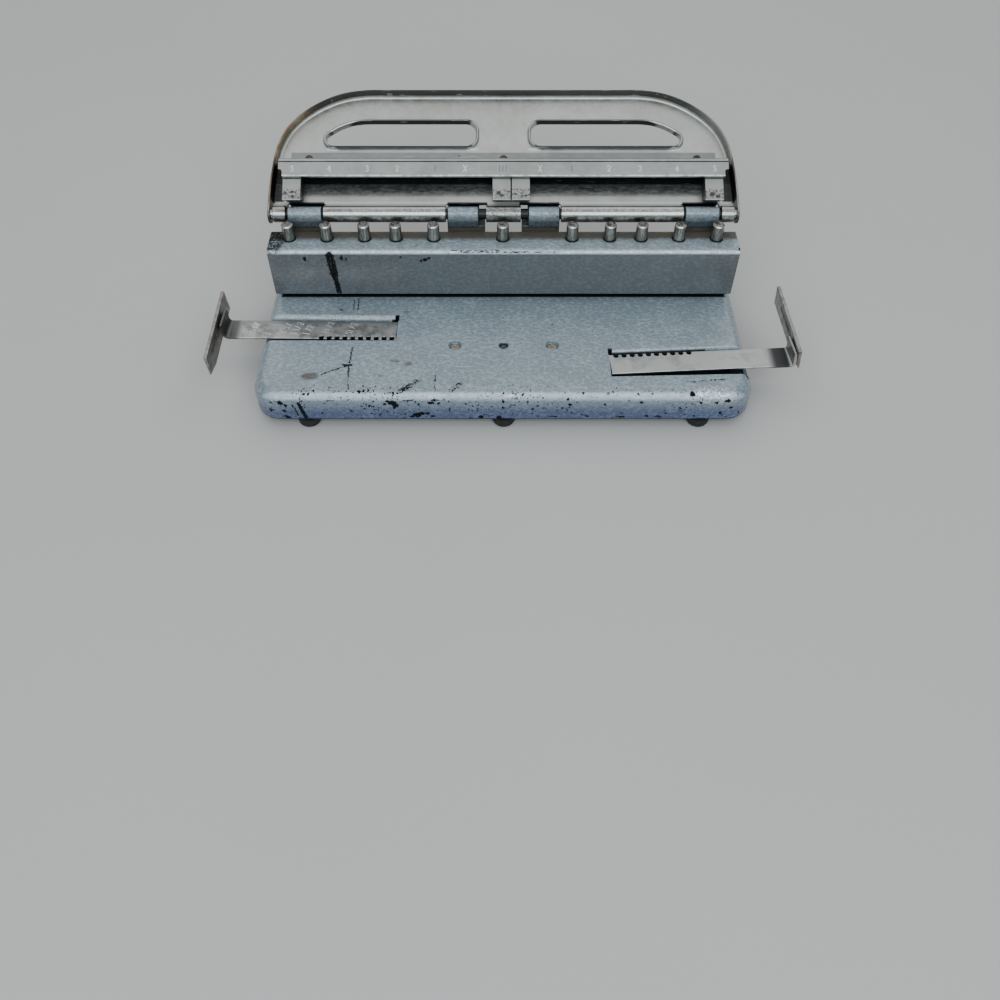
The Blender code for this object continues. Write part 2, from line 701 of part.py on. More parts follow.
def make_scale_bar(nickel):
    """Z-section strip: flange on the sheet, web, overhanging scale face."""
    prof = [(34.1, -2.2), (34.1, -1.0), (28.0, -1.0), (27.3, -0.3),
            (27.0, 6.0), (26.5, 6.8), (25.2, 7.15), (24.9, BAR_N),
            (16.7, BAR_N), (16.5, 7.3), (16.5, 6.2), (24.3, 6.2),
            (25.3, 5.4), (25.6, -1.0), (25.3, -2.2)]
    bar = prism_x("scale_bar", prof, -BAR_HALF, BAR_HALF, nickel,
                  place=lambda x, a, b: on_handle(x, a, b), smooth=30)
    cuts = []
    for sgn in (-1, 1):
        x0, x1 = sorted((sgn * 108.7, sgn * 116.0))
        cuts.append(box("cut_flange_%d" % sgn, (x0, x1), (27.05, 36.0),
                        (-4.0, 4.0), None,
                        place=lambda x, a, b: on_handle(x, a, b)))
        x0, x1 = sorted((sgn * 111.3, sgn * 116.0))
        cuts.append(box("cut_notch_%d" % sgn, (x0, x1), (14.0, 20.4),
                        (2.0, 9.0), None,
                        place=lambda x, a, b: on_handle(x, a, b)))
    for i, x in enumerate(RIVET_X):
        cuts.append(rivet_shape("cut_bar_rivet_%d" % i, x, 1.35, 1.35,
                                (-3.0, 0.5), None))
    return boolean(bar, cuts, smooth=30)


def make_block(name, x, nickel):
    s0, s1 = BLOCK_S
    n0, n1 = BLOCK_N
    c = 0.35
    # the lower end is undercut to clear the sheet's roll
    prof = [(s0 + c, n1), (s0, n1 - c), (s0 + 0.1, n1 - 0.9), (s0 + 4.2, n0),
            (s1, n0), (s1, n1 - c), (s1 - c, n1)]
    ob = prism_x(name, prof, x - BLOCK_W / 2, x + BLOCK_W / 2, nickel,
                 place=lambda p, a, b: on_handle(p, a, b))
    p = on_handle(x, 0.5 * (s0 + s1), 0.5 * (n0 + n1))
    ob.data.transform(Matrix.Translation(-p))
    ob.location = p
    return ob


# -------------------------------------------------------------------- gauges
# end: middle of the strip's inner end; stop: its inner face's distance from
# the middle at y = -35 and z = the foot, how much that grows per mm to the
# rear, its ends, and how far its top leans outward
LEFT_GAUGE = dict(sgn=-1, end=(-54.1, -34.1), angle=1.0, run=84.3, bend=1.9,
                  notch_side=-1, notch_from=2.0, pitch=3.96,
                  stop=(142.1, 0.021), stop_y=(-65.2, -14.6), lean=0.75)
RIGHT_GAUGE = dict(sgn=1, end=(52.4, -59.1), angle=3.7, run=88.2, bend=1.0,
                   notch_side=1, notch_from=3.6, pitch=4.05,
                   stop=(142.85, -0.021), stop_y=(-60.6, -10.4), lean=-1.1)


def gauge_frame(g):
    """Maps (along the strip outward, across it to the rear, z) to world."""
    a = radians(g["angle"])
    ux, uy = g["sgn"] * cos(a), sin(a)
    ex, ey = g["end"]

    def place(u, w, z):
        # across the strip, always towards the rear
        return world(ex + ux * u - g["sgn"] * uy * w,
                     ey + uy * u + g["sgn"] * ux * w, z)
    return place


def make_gauge(g, side, nickel):
    place = gauge_frame(g)
    h = STRIP_W / 2
    z0, z1 = STRIP_Z
    run = g["run"]
    # flat strip with ten round notches, bent up into a tab at its outer end
    outline = []
    pitch, r, sunk = g["pitch"], 1.3, 0.75
    front = [(0.0, -h)]
    rear = [(0.0, h)]

    def notches(w, sgn):
        pts = []
        for k in range(10):
            c = g["notch_from"] + pitch * k
            # the round sits a little inside the edge, so its mouth narrows
            a0 = -radians(35)
            for j in range(7):
                a = a0 + (pi - 2 * a0) * j / 6
                pts.append((c - r * cos(a), w - sgn * (sunk + r * sin(a))))
        return pts
    if g["notch_side"] < 0:
        front += notches(-h, -1)
    else:
        rear += notches(h, 1)
    front.append((run, -h))
    rear.append((run, h))
    outline = front + list(reversed(rear))
    flat = loft("gauge_strip_%s" % side, [[place(u, w, z) for u, w in outline]
                                          for z in (z0, z1)], nickel)
    t = z1 - z0
    ri = g["bend"]
    prof = [(run - 4.0, z0 + 0.02), (run, z0 + 0.02)]
    for k in range(1, 6):
        a = radians(90 * k / 5)
        prof.append((run + (ri + t) * sin(a), z0 + 0.02 + (ri + t) * (1 - cos(a))))
    tip = g["lean"] * (TAB_Z - z1 - ri) / (STOP_Z[1] - STOP_Z[0])
    prof.append((run + ri + t + tip, TAB_Z))
    prof.append((run + ri + tip, TAB_Z))
    for k in range(5, 0, -1):
        a = radians(90 * k / 5)
        prof.append((run + ri * sin(a), z1 - 0.02 + ri * (1 - cos(a))))
    prof += [(run, z1 - 0.02), (run - 4.0, z1 - 0.02)]
    tab = loft("add_tab", [[place(u, w, z) for u, z in prof]
                           for w in (-h + 0.06, h - 0.06)], nickel)
    boolean(flat, [tab], "UNION")
    # stop: an upright bar with a bead along its inner face and a narrow top;
    # its front end is taken back at the foot
    zb, zt = STOP_Z
    x35, grow = g["stop"]
    y0, y1 = g["stop_y"]

    def section(y, foot, bead):
        x = x35 + grow * (y + 35.0)

        def lean(z):
            return g["lean"] * (z - zb) / (zt - zb)
        prof = [(foot, zb), (lean(24.4) + 0.3 * foot, 24.4),
                (lean(25.6) - bead, 25.6), (lean(26.8), 26.8),
                (lean(29.7), 29.7), (lean(zt) + 0.25, zt),
                (lean(zt) + STOP_T - 0.3, zt), (lean(29.6) + STOP_T, 29.6),
                (max(STOP_T, foot + 0.3), zb)]
        return [world(g["sgn"] * (x + u), y, z) for u, z in prof]
    stop = loft("gauge_stop_%s" % side,
                [section(y0, 1.3, 0.0), section(y0 + 1.2, 1.1, 0.0),
                 section(y0 + 8.5, 0.0, 0.0), section(y0 + 10.5, 0.0, 0.35),
                 section(y1 - 13.5, 0.0, 0.35), section(y1 - 11.5, 0.0, 0.0),
                 section(y1, 0.0, 0.0)], nickel, smooth=25)
    # bowed leaf that holds the strip where it is put
    leaf_t = 0.35
    pts = []
    n = 10
    u0, u1 = 14.0, 48.0
    for k in range(n + 1):
        t1 = k / n
        z = 14.85 + 3.65 * sin(pi * t1) ** 1.0
        pts.append((u0 + (u1 - u0) * t1, z))
    prof = pts + [(u, z + leaf_t) for u, z in reversed(pts)]
    leaf = loft("gauge_leaf_%s" % side, [[place(u, w, z) for u, z in prof]
                                         for w in (-3.5, 3.5)],
                material("spring_steel", (0.30, 0.30, 0.31), 0.4, 1.0))
    return flat, stop, leaf


# --------------------------------------------------------------------- build
def main():
    clear_scene()
    enamel = material("enamel", (0.33, 0.38, 0.42), 0.45, 0.4)
    nickel = material("nickel", (0.62, 0.61, 0.57), 0.32, 1.0)
    steel = material("steel", (0.45, 0.44, 0.42), 0.35, 1.0)
    spring = material("spring_steel", (0.30, 0.30, 0.31), 0.4, 1.0)
    rubber = material("rubber", (0.02, 0.02, 0.02), 0.85, 0.0)
    dark = material("dark_steel", (0.08, 0.08, 0.09), 0.5, 0.8)

    make_base(enamel)
    make_hood(enamel)
    make_bar_with_holes("die_plate", 116.4, 7.2, (18.0, 22.0), 3.4, steel)
    make_bar_with_holes("guide_plate", 114.2, 6.6, (24.4, 27.8), 3.4, steel)
    make_cover(dark)
    for nm, x in zip(("left", "centre", "right"), FOOT_X):
        make_foot("foot_front_%s" % nm, x, FOOT_Y[0], rubber)
    for nm, x in zip(("left", "centre", "right"), (-70.0, 0.0, 70.0)):
        make_foot("foot_rear_%s" % nm, x, 14.2, rubber)
    for i, x in enumerate((-104.0, -36.0, 36.0, 104.0)):
        lathe("hood_screw_%d" % (i + 1),
              [(0, 7.6), (3.2, 7.6), (3.7, 8.1), (3.7, 10.6), (1.9, 10.6),
               (1.9, 29.6), (0, 30.1)], 12, (x, 13.6, 0), dark)
    for nm, x in (("left", -24.2), ("right", 24.2)):
        lathe("cover_stud_%s" % nm,
              [(0, 5.0), (1.2, 5.0), (1.6, 5.4), (1.6, 19.7), (2.9, 21.0),
               (2.9, 21.3), (0, 21.5)], 12, (x, -46.7, 0), nickel)
    for nm, x in (("left", -62.0), ("right", 62.0)):
        lathe("cover_screw_%s" % nm,
              [(0, 3.6), (2.6, 3.7), (3.3, 4.4), (3.3, 5.1), (1.6, 5.1),
               (1.6, 11.0), (0, 11.3)], 12, (x, 5.0, 0), dark)
    lathe("hinge_rod",
          [(0, -119.6), (1.4, -119.5), (2.2, -119.1), (ROD_R, -118.4),
           (ROD_R, 118.4), (2.2, 119.1), (1.4, 119.5), (0, 119.6)], 14,
          (0, AXIS_Y, AXIS_Z), steel, axis="X")
    for i, x in enumerate(PIN_X):
        make_pin(i, x, steel)
        make_pin_spring(i, x, spring)

    make_handle(nickel)
    make_scale_bar(nickel)
    for nm, i in (("left", 0), ("centre", 1), ("right", 2)):
        rivet_shape("scale_rivet_%s" % nm, RIVET_X[i], 1.05, 2.1,
                    (-4.0, -0.7), steel, head=0.9)
    for nm, x in zip(BLOCK_NAMES, BLOCK_X):
        make_block(nm, x, nickel)
    make_gauge(LEFT_GAUGE, "left", nickel)
    make_gauge(RIGHT_GAUGE, "right", nickel)


main()
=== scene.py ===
import bpy
import bmesh
from math import sin, cos, pi, radians, sqrt
from mathutils import Vector, Matrix

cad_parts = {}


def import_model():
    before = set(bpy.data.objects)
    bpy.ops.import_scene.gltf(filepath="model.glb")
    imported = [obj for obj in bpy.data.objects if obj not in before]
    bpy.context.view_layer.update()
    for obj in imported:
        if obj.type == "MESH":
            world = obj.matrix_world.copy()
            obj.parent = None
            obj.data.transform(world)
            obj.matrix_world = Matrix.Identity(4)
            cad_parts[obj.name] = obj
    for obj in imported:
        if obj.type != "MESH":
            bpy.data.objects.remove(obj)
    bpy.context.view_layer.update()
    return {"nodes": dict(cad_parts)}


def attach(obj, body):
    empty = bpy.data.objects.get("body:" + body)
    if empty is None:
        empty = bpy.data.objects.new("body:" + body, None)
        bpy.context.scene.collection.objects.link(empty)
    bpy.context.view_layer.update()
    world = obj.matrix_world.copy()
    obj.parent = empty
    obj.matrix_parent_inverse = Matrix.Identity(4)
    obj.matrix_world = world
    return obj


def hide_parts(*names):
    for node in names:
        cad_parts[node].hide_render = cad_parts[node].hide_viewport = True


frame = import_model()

NODES = frame["nodes"]
MM = 0.001

# The drawing's own numbers, in millimetres. Depths (y) are counted from a
# line just in front of the pins' centres, as in the CAD source.
Y_SHIFT = 6.2
PIN_DX = -0.3
PIN_X = tuple(x + PIN_DX for x in (
    -107.95, -88.9, -69.85, -53.98, -34.93, 0.0,
    34.93, 53.98, 69.85, 88.9, 107.95))
PIN_Y = 0.9
PIN_R = 3.0
PIN_BORE_R = 3.3
PIN_TIP_Z = 24.9
PIN_TOP_Z = 59.35
PIN_COLLAR_R = 4.5
PIN_COLLAR_Z = (41.2, 43.8)
BASE_W = 241.9
BASE_DX = -0.35
BASE_Y = (-81.6, 20.5)
BASE_R_FRONT = 12.5
BASE_R_REAR = 7.4
BASE_EDGE_R = 7.0
BASE_REAR_EDGE = 0.5
BASE_WALL = 4.0
HOOD_X = 118.5
HOOD_Y = (-9.9, 7.0)
HOOD_Z = (24.2, 50.9)
HOOD_EDGE_R = 2.6
PAPER_STOP_Y = 9.5
HOOD_FOOT_Y = 17.6
AXIS_Y = 11.1
AXIS_Z = 58.2
ROD_R = 2.6
BARREL_R = 4.1
BORE_R = 2.9
LEAN = radians(60.0)
SHEET_BACK = -4.1
SHEET_FRONT = -2.5
SHEET_T = 1.1
SHEET_BEND = 1.3
RIM_N = 2.5
EAR_N = 4.3
BLOCK_W = 9.3
BLOCK_X = (-106.7, -0.95, 8.75, 106.2)
BLOCK_NAMES = ("presser_outer_left", "presser_inner_left",
               "presser_inner_right", "presser_outer_right")
BLOCK_S = (4.9, 24.3)
BLOCK_N = (-2.1, 5.3)
BAR_HALF = 113.25
BAR_N = 7.5
RIVET_X = (-99.5, 0.0, 99.1)
RIVET_S = 30.3
STRIP_W = 13.2
STRIP_Z = (19.2, 20.4)
STOP_Z = (18.9, 30.0)
STOP_T = 1.7
TAB_Z = 27.7
FOOT_X = (-95.6, 0.0, 95.6)
FOOT_Y = (-77.3, 11.5)
OUTER_LUG = (91.55, 109.1)
INNER_LUG = (12.45, 28.4)
LUG_R = 3.55

# ------------------------------------------------------------------- camera
# The camera stands in front of the punch and looks down on it.
CAM_LOC = Vector((-0.002143, -0.389820, 0.331160))
CAM_FWD = Vector((0.000763, 0.628796, -0.777570)).normalized()
CAM_RIGHT = Vector((1.0, -0.00065, 0.000455))
CAM_F = 0.92406          # focal length over the frame's width


def make_camera():
    cam = bpy.data.cameras.new("camera")
    ob = bpy.data.objects.new("camera", cam)
    bpy.context.scene.collection.objects.link(ob)
    fwd = CAM_FWD
    right = (CAM_RIGHT - fwd * CAM_RIGHT.dot(fwd)).normalized()
    up = right.cross(fwd).normalized()
    m = Matrix((right, up, -fwd)).transposed().to_4x4()
    m.translation = CAM_LOC
    ob.matrix_world = m
    cam.sensor_fit = "HORIZONTAL"
    cam.sensor_width = 36.0
    cam.lens = 36.0 * CAM_F
    cam.clip_start = 0.01
    cam.clip_end = 20.0
    bpy.context.scene.camera = ob


# ------------------------------------------------------------- mesh helpers
def world(x, y, z):
    return Vector((x * MM, (y + Y_SHIFT) * MM, z * MM))


S_DIR = Vector((0.0, sin(LEAN), cos(LEAN)))
N_DIR = Vector((0.0, -cos(LEAN), sin(LEAN)))


def on_handle(x, s, n):
    """x along the hinge, s up the handle's sheet, n out of its front."""
    p = Vector((x, AXIS_Y, AXIS_Z)) + S_DIR * s + N_DIR * n
    return world(p.x, p.y, p.z)


def finish_mesh(ob, smooth=35.0):
    ob.data.shade_smooth()
    ob.data.set_sharp_from_angle(angle=radians(smooth))
    md = ob.modifiers.new("normals", "WEIGHTED_NORMAL")
    md.mode = "FACE_AREA"
    md.weight = 80
    md.keep_sharp = True


def mesh_object(name, verts, faces, mat=None, smooth=35.0, weighted=True):
    me = bpy.data.meshes.new(name)
    me.from_pydata([tuple(v) for v in verts], [], faces)
    me.validate()
    bm = bmesh.new()
    bm.from_mesh(me)
    bmesh.ops.recalc_face_normals(bm, faces=bm.faces)
    bm.to_mesh(me)
    bm.free()
    ob = bpy.data.objects.new(name, me)
    bpy.context.scene.collection.objects.link(ob)
    if mat is not None:
        me.materials.append(mat)
    if mat is not None and smooth:
        finish_mesh(ob, smooth)
    return ob


def loft(name, rings, mat=None, closed_loop=False, smooth=35.0):
    n = len(rings[0])
    verts = [p for r in rings for p in r]
    faces = []
    m = len(rings)
    for i in range(m if closed_loop else m - 1):
        a, b = i * n, ((i + 1) % m) * n
        for j in range(n):
            k = (j + 1) % n
            faces.append((a + j, a + k, b + k, b + j))
    if not closed_loop:
        faces.append(tuple(range(n - 1, -1, -1)))
        faces.append(tuple(range((m - 1) * n, m * n)))
    return mesh_object(name, verts, faces, mat, smooth)


def offset_loop(pts, d):
    """Offset a closed counter-clockwise loop outward by d."""
    n = len(pts)
    out = []
    for i in range(n):
        a, b, c = pts[i - 1], pts[i], pts[(i + 1) % n]
        e1 = (b - a).normalized()
        e2 = (c - b).normalized()
        n1 = Vector((e1.y, -e1.x))
        n2 = Vector((e2.y, -e2.x))
        m = (n1 + n2)
        m = m.normalized() if m.length > 1e-6 else n1
        out.append(b + m * (d / max(0.35, m.dot(n1))))
    return out


def area_of(pts):
    return 0.5 * sum(pts[i - 1].x * pts[i].y - pts[i].x * pts[i - 1].y
                     for i in range(len(pts)))


def prism_x(name, profile, x0, x1, mat=None, place=world, smooth=35.0,
            bevel=0.0, steps=2):
    """Extrude an (a, b) profile along X, its end edges rounded by bevel."""
    pts = [Vector(p) for p in profile]
    sgn = 1.0 if area_of(pts) > 0 else -1.0
    rings = []
    if bevel > 0:
        for k in range(steps + 1):
            a = 0.5 * pi * k / steps
            rings.append((x0 + bevel * (1 - sin(a)), bevel * (1 - cos(a))))
        rings = sorted(rings)
        rings = [(x, d) for x, d in rings]
        ends = [(x0 + bevel * (1 - cos(0.5 * pi * k / steps)),
                 bevel * (1 - sin(0.5 * pi * k / steps)))
                for k in range(steps + 1)]
        rings = ends + [(x1 - (x - x0), d) for x, d in reversed(ends)]
    else:
        rings = [(x0, 0.0), (x1, 0.0)]
    out = []
    for x, d in rings:
        q = offset_loop(pts, -d * sgn) if d > 0 else pts
        out.append([place(x, p.x, p.y) for p in q])
    return loft(name, out, mat, smooth=smooth)


def box(name, x, y, z, mat=None, place=world):
    prof = [(y[0], z[0]), (y[1], z[0]), (y[1], z[1]), (y[0], z[1])]
    return prism_x(name, prof, x[0], x[1], mat, place, smooth=0)


def lathe(name, profile, segs, centre, mat=None, axis="Z", smooth=35.0,
          place=None):
    """Turn an (r, h) profile round an axis."""
    rings = []
    verts = []
    faces = []
    for r, h in profile:
        if r < 1e-6:
            rings.append([len(verts)])
            verts.append((0.0, 0.0, h))
        else:
            ids = []
            for k in range(segs):
                a = 2 * pi * (k + 0.5) / segs
                ids.append(len(verts))
                verts.append((r * cos(a), r * sin(a), h))
            rings.append(ids)
    for i in range(len(rings) - 1):
        a, b = rings[i], rings[i + 1]
        if len(a) == 1 and len(b) == 1:
            continue
        for k in range(segs):
            k2 = (k + 1) % segs
            if len(a) == 1:
                faces.append((a[0], b[k2], b[k]))
            elif len(b) == 1:
                faces.append((a[k], a[k2], b[0]))
            else:
                faces.append((a[k], a[k2], b[k2], b[k]))
    for end, flip in ((rings[0], True), (rings[-1], False)):
        if len(end) > 1:
            faces.append(tuple(reversed(end)) if flip else tuple(end))
    out = []
    for x, y, z in verts:
        if axis == "X":
            x, y, z = z, x, y
        elif axis == "Y":
            x, y, z = y, z, x
        if place is None:
            out.append(world(centre[0] + x, centre[1] + y, centre[2] + z))
        else:
            out.append(place(centre[0] + x, centre[1] + y, centre[2] + z))
    return mesh_object(name, out, faces, mat, smooth)


def boolean(ob, tools, op="DIFFERENCE"):
    for t in tools:
        md = ob.modifiers.new("cut", "BOOLEAN")
        md.operation = op
        md.solver = "EXACT"
        md.object = t
    bpy.context.view_layer.update()
    dg = bpy.context.evaluated_depsgraph_get()
    me = bpy.data.meshes.new_from_object(ob.evaluated_get(dg))
    ob.modifiers.clear()
    old = ob.data
    ob.data = me
    bpy.data.meshes.remove(old)
    me.name = ob.name
    for t in tools:
        bpy.data.objects.remove(t, do_unlink=True)
    bm = bmesh.new()
    bm.from_mesh(ob.data)
    bmesh.ops.remove_doubles(bm, verts=bm.verts, dist=0.000002)
    bmesh.ops.dissolve_degenerate(bm, edges=bm.edges, dist=0.000001)
    bm.to_mesh(ob.data)
    bm.free()
    return ob


def give(ob, mat, smooth=35.0):
    """The finished surface of a piece that was cut or joined."""
    ob.data.materials.clear()
    ob.data.materials.append(mat)
    for p in ob.data.polygons:
        p.material_index = 0
    bm = bmesh.new()
    bm.from_mesh(ob.data)
    bmesh.ops.triangulate(bm, faces=[f for f in bm.faces if len(f.verts) > 4])
    bm.to_mesh(ob.data)
    bm.free()
    finish_mesh(ob, smooth)
    return ob


def spline(points, per=6):
    out = []
    n = len(points)
    for i in range(n - 1):
        p0 = Vector(points[max(i - 1, 0)])
        p1 = Vector(points[i])
        p2 = Vector(points[i + 1])
        p3 = Vector(points[min(i + 2, n - 1)])
        for k in range(per):
            t = k / per
            out.append(0.5 * ((2 * p1) + (p2 - p0) * t
                              + (2 * p0 - 5 * p1 + 4 * p2 - p3) * t * t
                              + (3 * p1 - p0 - 3 * p2 + p3) * t * t * t))
    out.append(Vector(points[-1]))
    return out


def offset_open(pts, d):
    out = []
    n = len(pts)
    for i in range(n):
        a = pts[max(i - 1, 0)]
        c = pts[min(i + 1, n - 1)]
        t = (c - a).normalized()
        out.append(pts[i] + Vector((t.y, -t.x)) * d)
    return out


def rounded_rect(hx, y0, y1, rf, rr, inset, steps=5):
    pts = []
    hx -= inset
    y0 += inset
    y1 -= inset
    rf = max(rf - inset, 0.3)
    rr = max(rr - inset, 0.3)
    for cx, cy, r, a0 in ((hx - rf, y0 + rf, rf, -90),
                          (hx - rr, y1 - rr, rr, 0),
                          (-hx + rr, y1 - rr, rr, 90),
                          (-hx + rf, y0 + rf, rf, 180)):
        for k in range(steps + 1):
            a = radians(a0 + 90 * k / steps)
            pts.append((cx + r * cos(a), cy + r * sin(a)))
    return pts


def piece(ob, body, slot, *nodes):
    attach(ob, body)
    if nodes:
        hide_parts(*nodes)
    return ob


# ---------------------------------------------------------------- materials
class Mat:
    """A small writer for node materials. P is the place in millimetres."""

    def __init__(self, name):
        self.m = bpy.data.materials.new(name)
        self.m.use_nodes = True
        self.nt = self.m.node_tree
        self.nt.nodes.clear()
        out = self.nt.nodes.new("ShaderNodeOutputMaterial")
        self.b = self.nt.nodes.new("ShaderNodeBsdfPrincipled")
        self.nt.links.new(self.b.outputs[0], out.inputs[0])
        tc = self.nt.nodes.new("ShaderNodeTexCoord")
        self.P = self.vec("SCALE", tc.outputs["Object"], scale=1000.0)
        self._xyz = None

    def put(self, sock, val):
        if isinstance(val, bpy.types.NodeSocket):
            self.nt.links.new(val, sock)
        elif isinstance(val, (tuple, list)) and len(val) == 3 \
                and sock.type == "RGBA":
            sock.default_value = (*val, 1.0)
        else:
            sock.default_value = val

    def set(self, name, val):
        self.put(self.b.inputs[name], val)

    def math(self, op, a, b=0.5, clamp=False):
        n = self.nt.nodes.new("ShaderNodeMath")
        n.operation = op
        n.use_clamp = clamp
        self.put(n.inputs[0], a)
        self.put(n.inputs[1], b)
        return n.outputs[0]

    def vec(self, op, a, b=None, scale=None):
        n = self.nt.nodes.new("ShaderNodeVectorMath")
        n.operation = op
        self.put(n.inputs[0], a)
        if b is not None:
            self.put(n.inputs[1], b)
        if scale is not None:
            self.put(n.inputs["Scale"], scale)
        return n.outputs["Value" if op in ("DISTANCE", "LENGTH",
                                           "DOT_PRODUCT") else "Vector"]

    def xyz(self):
        if self._xyz is None:
            n = self.nt.nodes.new("ShaderNodeSeparateXYZ")
            self.put(n.inputs[0], self.P)
            self._xyz = n.outputs
        return self._xyz

    def split(self, v):
        n = self.nt.nodes.new("ShaderNodeSeparateXYZ")
        self.put(n.inputs[0], v)
        return n.outputs

    def join(self, x, y, z):
        n = self.nt.nodes.new("ShaderNodeCombineXYZ")
        self.put(n.inputs[0], x)
        self.put(n.inputs[1], y)
        self.put(n.inputs[2], z)
        return n.outputs[0]

    def noise(self, scale, detail=2.0, rough=0.5, vec=None, dist=0.0,
              color=False):
        n = self.nt.nodes.new("ShaderNodeTexNoise")
        self.put(n.inputs["Vector"], self.P if vec is None else vec)
        n.inputs["Scale"].default_value = scale
        n.inputs["Detail"].default_value = detail
        n.inputs["Roughness"].default_value = rough
        n.inputs["Distortion"].default_value = dist
        return n.outputs["Color" if color else "Fac"]

    def voronoi(self, scale, vec=None, feature="F1", out="Distance",
                smooth=0.5, rand=1.0):
        n = self.nt.nodes.new("ShaderNodeTexVoronoi")
        n.feature = feature
        self.put(n.inputs["Vector"], self.P if vec is None else vec)
        n.inputs["Scale"].default_value = scale
        n.inputs["Randomness"].default_value = rand
        if feature == "SMOOTH_F1":
            n.inputs["Smoothness"].default_value = smooth
        return n.outputs[out]

    def remap(self, v, a, b, c=0.0, d=1.0, smooth=True):
        n = self.nt.nodes.new("ShaderNodeMapRange")
        n.interpolation_type = "SMOOTHSTEP" if smooth else "LINEAR"
        n.clamp = True
        self.put(n.inputs["Value"], v)
        n.inputs["From Min"].default_value = a
        n.inputs["From Max"].default_value = b
        n.inputs["To Min"].default_value = c
        n.inputs["To Max"].default_value = d
        return n.outputs["Result"]

    def mix(self, f, a, b, blend="MIX"):
        n = self.nt.nodes.new("ShaderNodeMix")
        n.data_type = "RGBA"
        n.blend_type = blend
        self.put(n.inputs[0], f)
        self.put(n.inputs[6], a)
        self.put(n.inputs[7], b)
        return n.outputs[2]

    def mixf(self, f, a, b):
        n = self.nt.nodes.new("ShaderNodeMix")
        n.data_type = "FLOAT"
        self.put(n.inputs[0], f)
        self.put(n.inputs[2], a)
        self.put(n.inputs[3], b)
        return n.outputs[0]

    def bump(self, height, distance, strength=1.0, normal=None):
        n = self.nt.nodes.new("ShaderNodeBump")
        n.inputs["Strength"].default_value = strength
        n.inputs["Distance"].default_value = distance * MM
        self.put(n.inputs["Height"], height)
        if normal is not None:
            self.put(n.inputs["Normal"], normal)
        return n.outputs[0]

    def add(self, *vals):
        out = vals[0]
        for v in vals[1:]:
            out = self.math("ADD", out, v)
        return out

    def mul(self, *vals):
        out = vals[0]
        for v in vals[1:]:
            out = self.math("MULTIPLY", out, v)
        return out

    def top(self, *vals):
        out = vals[0]
        for v in vals[1:]:
            out = self.math("MAXIMUM", out, v)
        return out

    def wobble(self, amount, scale, detail=2.0):
        """P moved about by noise, for ragged outlines."""
        c = self.noise(scale, detail, 0.6, color=True)
        c = self.vec("SUBTRACT", c, (0.5, 0.5, 0.5))
        return self.vec("ADD", self.P, self.vec("SCALE", c, scale=amount))

    def spot(self, p, centre, radius, soft=0.35):
        """1 inside an ellipsoid of the given radii."""
        if not isinstance(radius, (tuple, list)):
            radius = (radius,) * 3
        q = self.vec("SUBTRACT", p, tuple(centre))
        q = self.vec("DIVIDE", q, tuple(radius))
        return self.remap(self.vec("LENGTH", q), 1.0 - soft, 1.0, 1.0, 0.0)

    def line(self, p, a, b, half, soft=0.4):
        """1 along the straight stretch from a to b."""
        a = Vector(a)
        b = Vector(b)
        d = (b - a)
        ln = d.length
        d = d / ln
        q = self.vec("SUBTRACT", p, tuple(a))
        t = self.vec("DOT_PRODUCT", q, tuple(d))
        t = self.math("MINIMUM", self.math("MAXIMUM", t, 0.0), ln)
        near = self.vec("SCALE", tuple(d), scale=t)
        w = self.vec("DISTANCE", q, near)
        return self.remap(w, half * (1 - soft), half, 1.0, 0.0)


def hammer(m):
    """Colour, height and sparkle of hammered grey enamel."""
    p = m.vec("MULTIPLY", m.wobble(1.3, 0.8), (0.8, 1.2, 1.2))
    cells = m.voronoi(0.62, p, "SMOOTH_F1", smooth=0.6)
    fine = m.noise(1.5, 3.0, 0.66, vec=m.vec("MULTIPLY", m.P,
                                             (0.8, 1.2, 1.2)))
    wide = m.noise(0.055, 3.0, 0.55)
    grain = m.noise(4.2, 2.0, 0.6)
    t = m.add(m.mul(cells, 0.55), m.mul(fine, 0.75), m.mul(grain, 0.35))
    return t, cells, fine, wide, grain


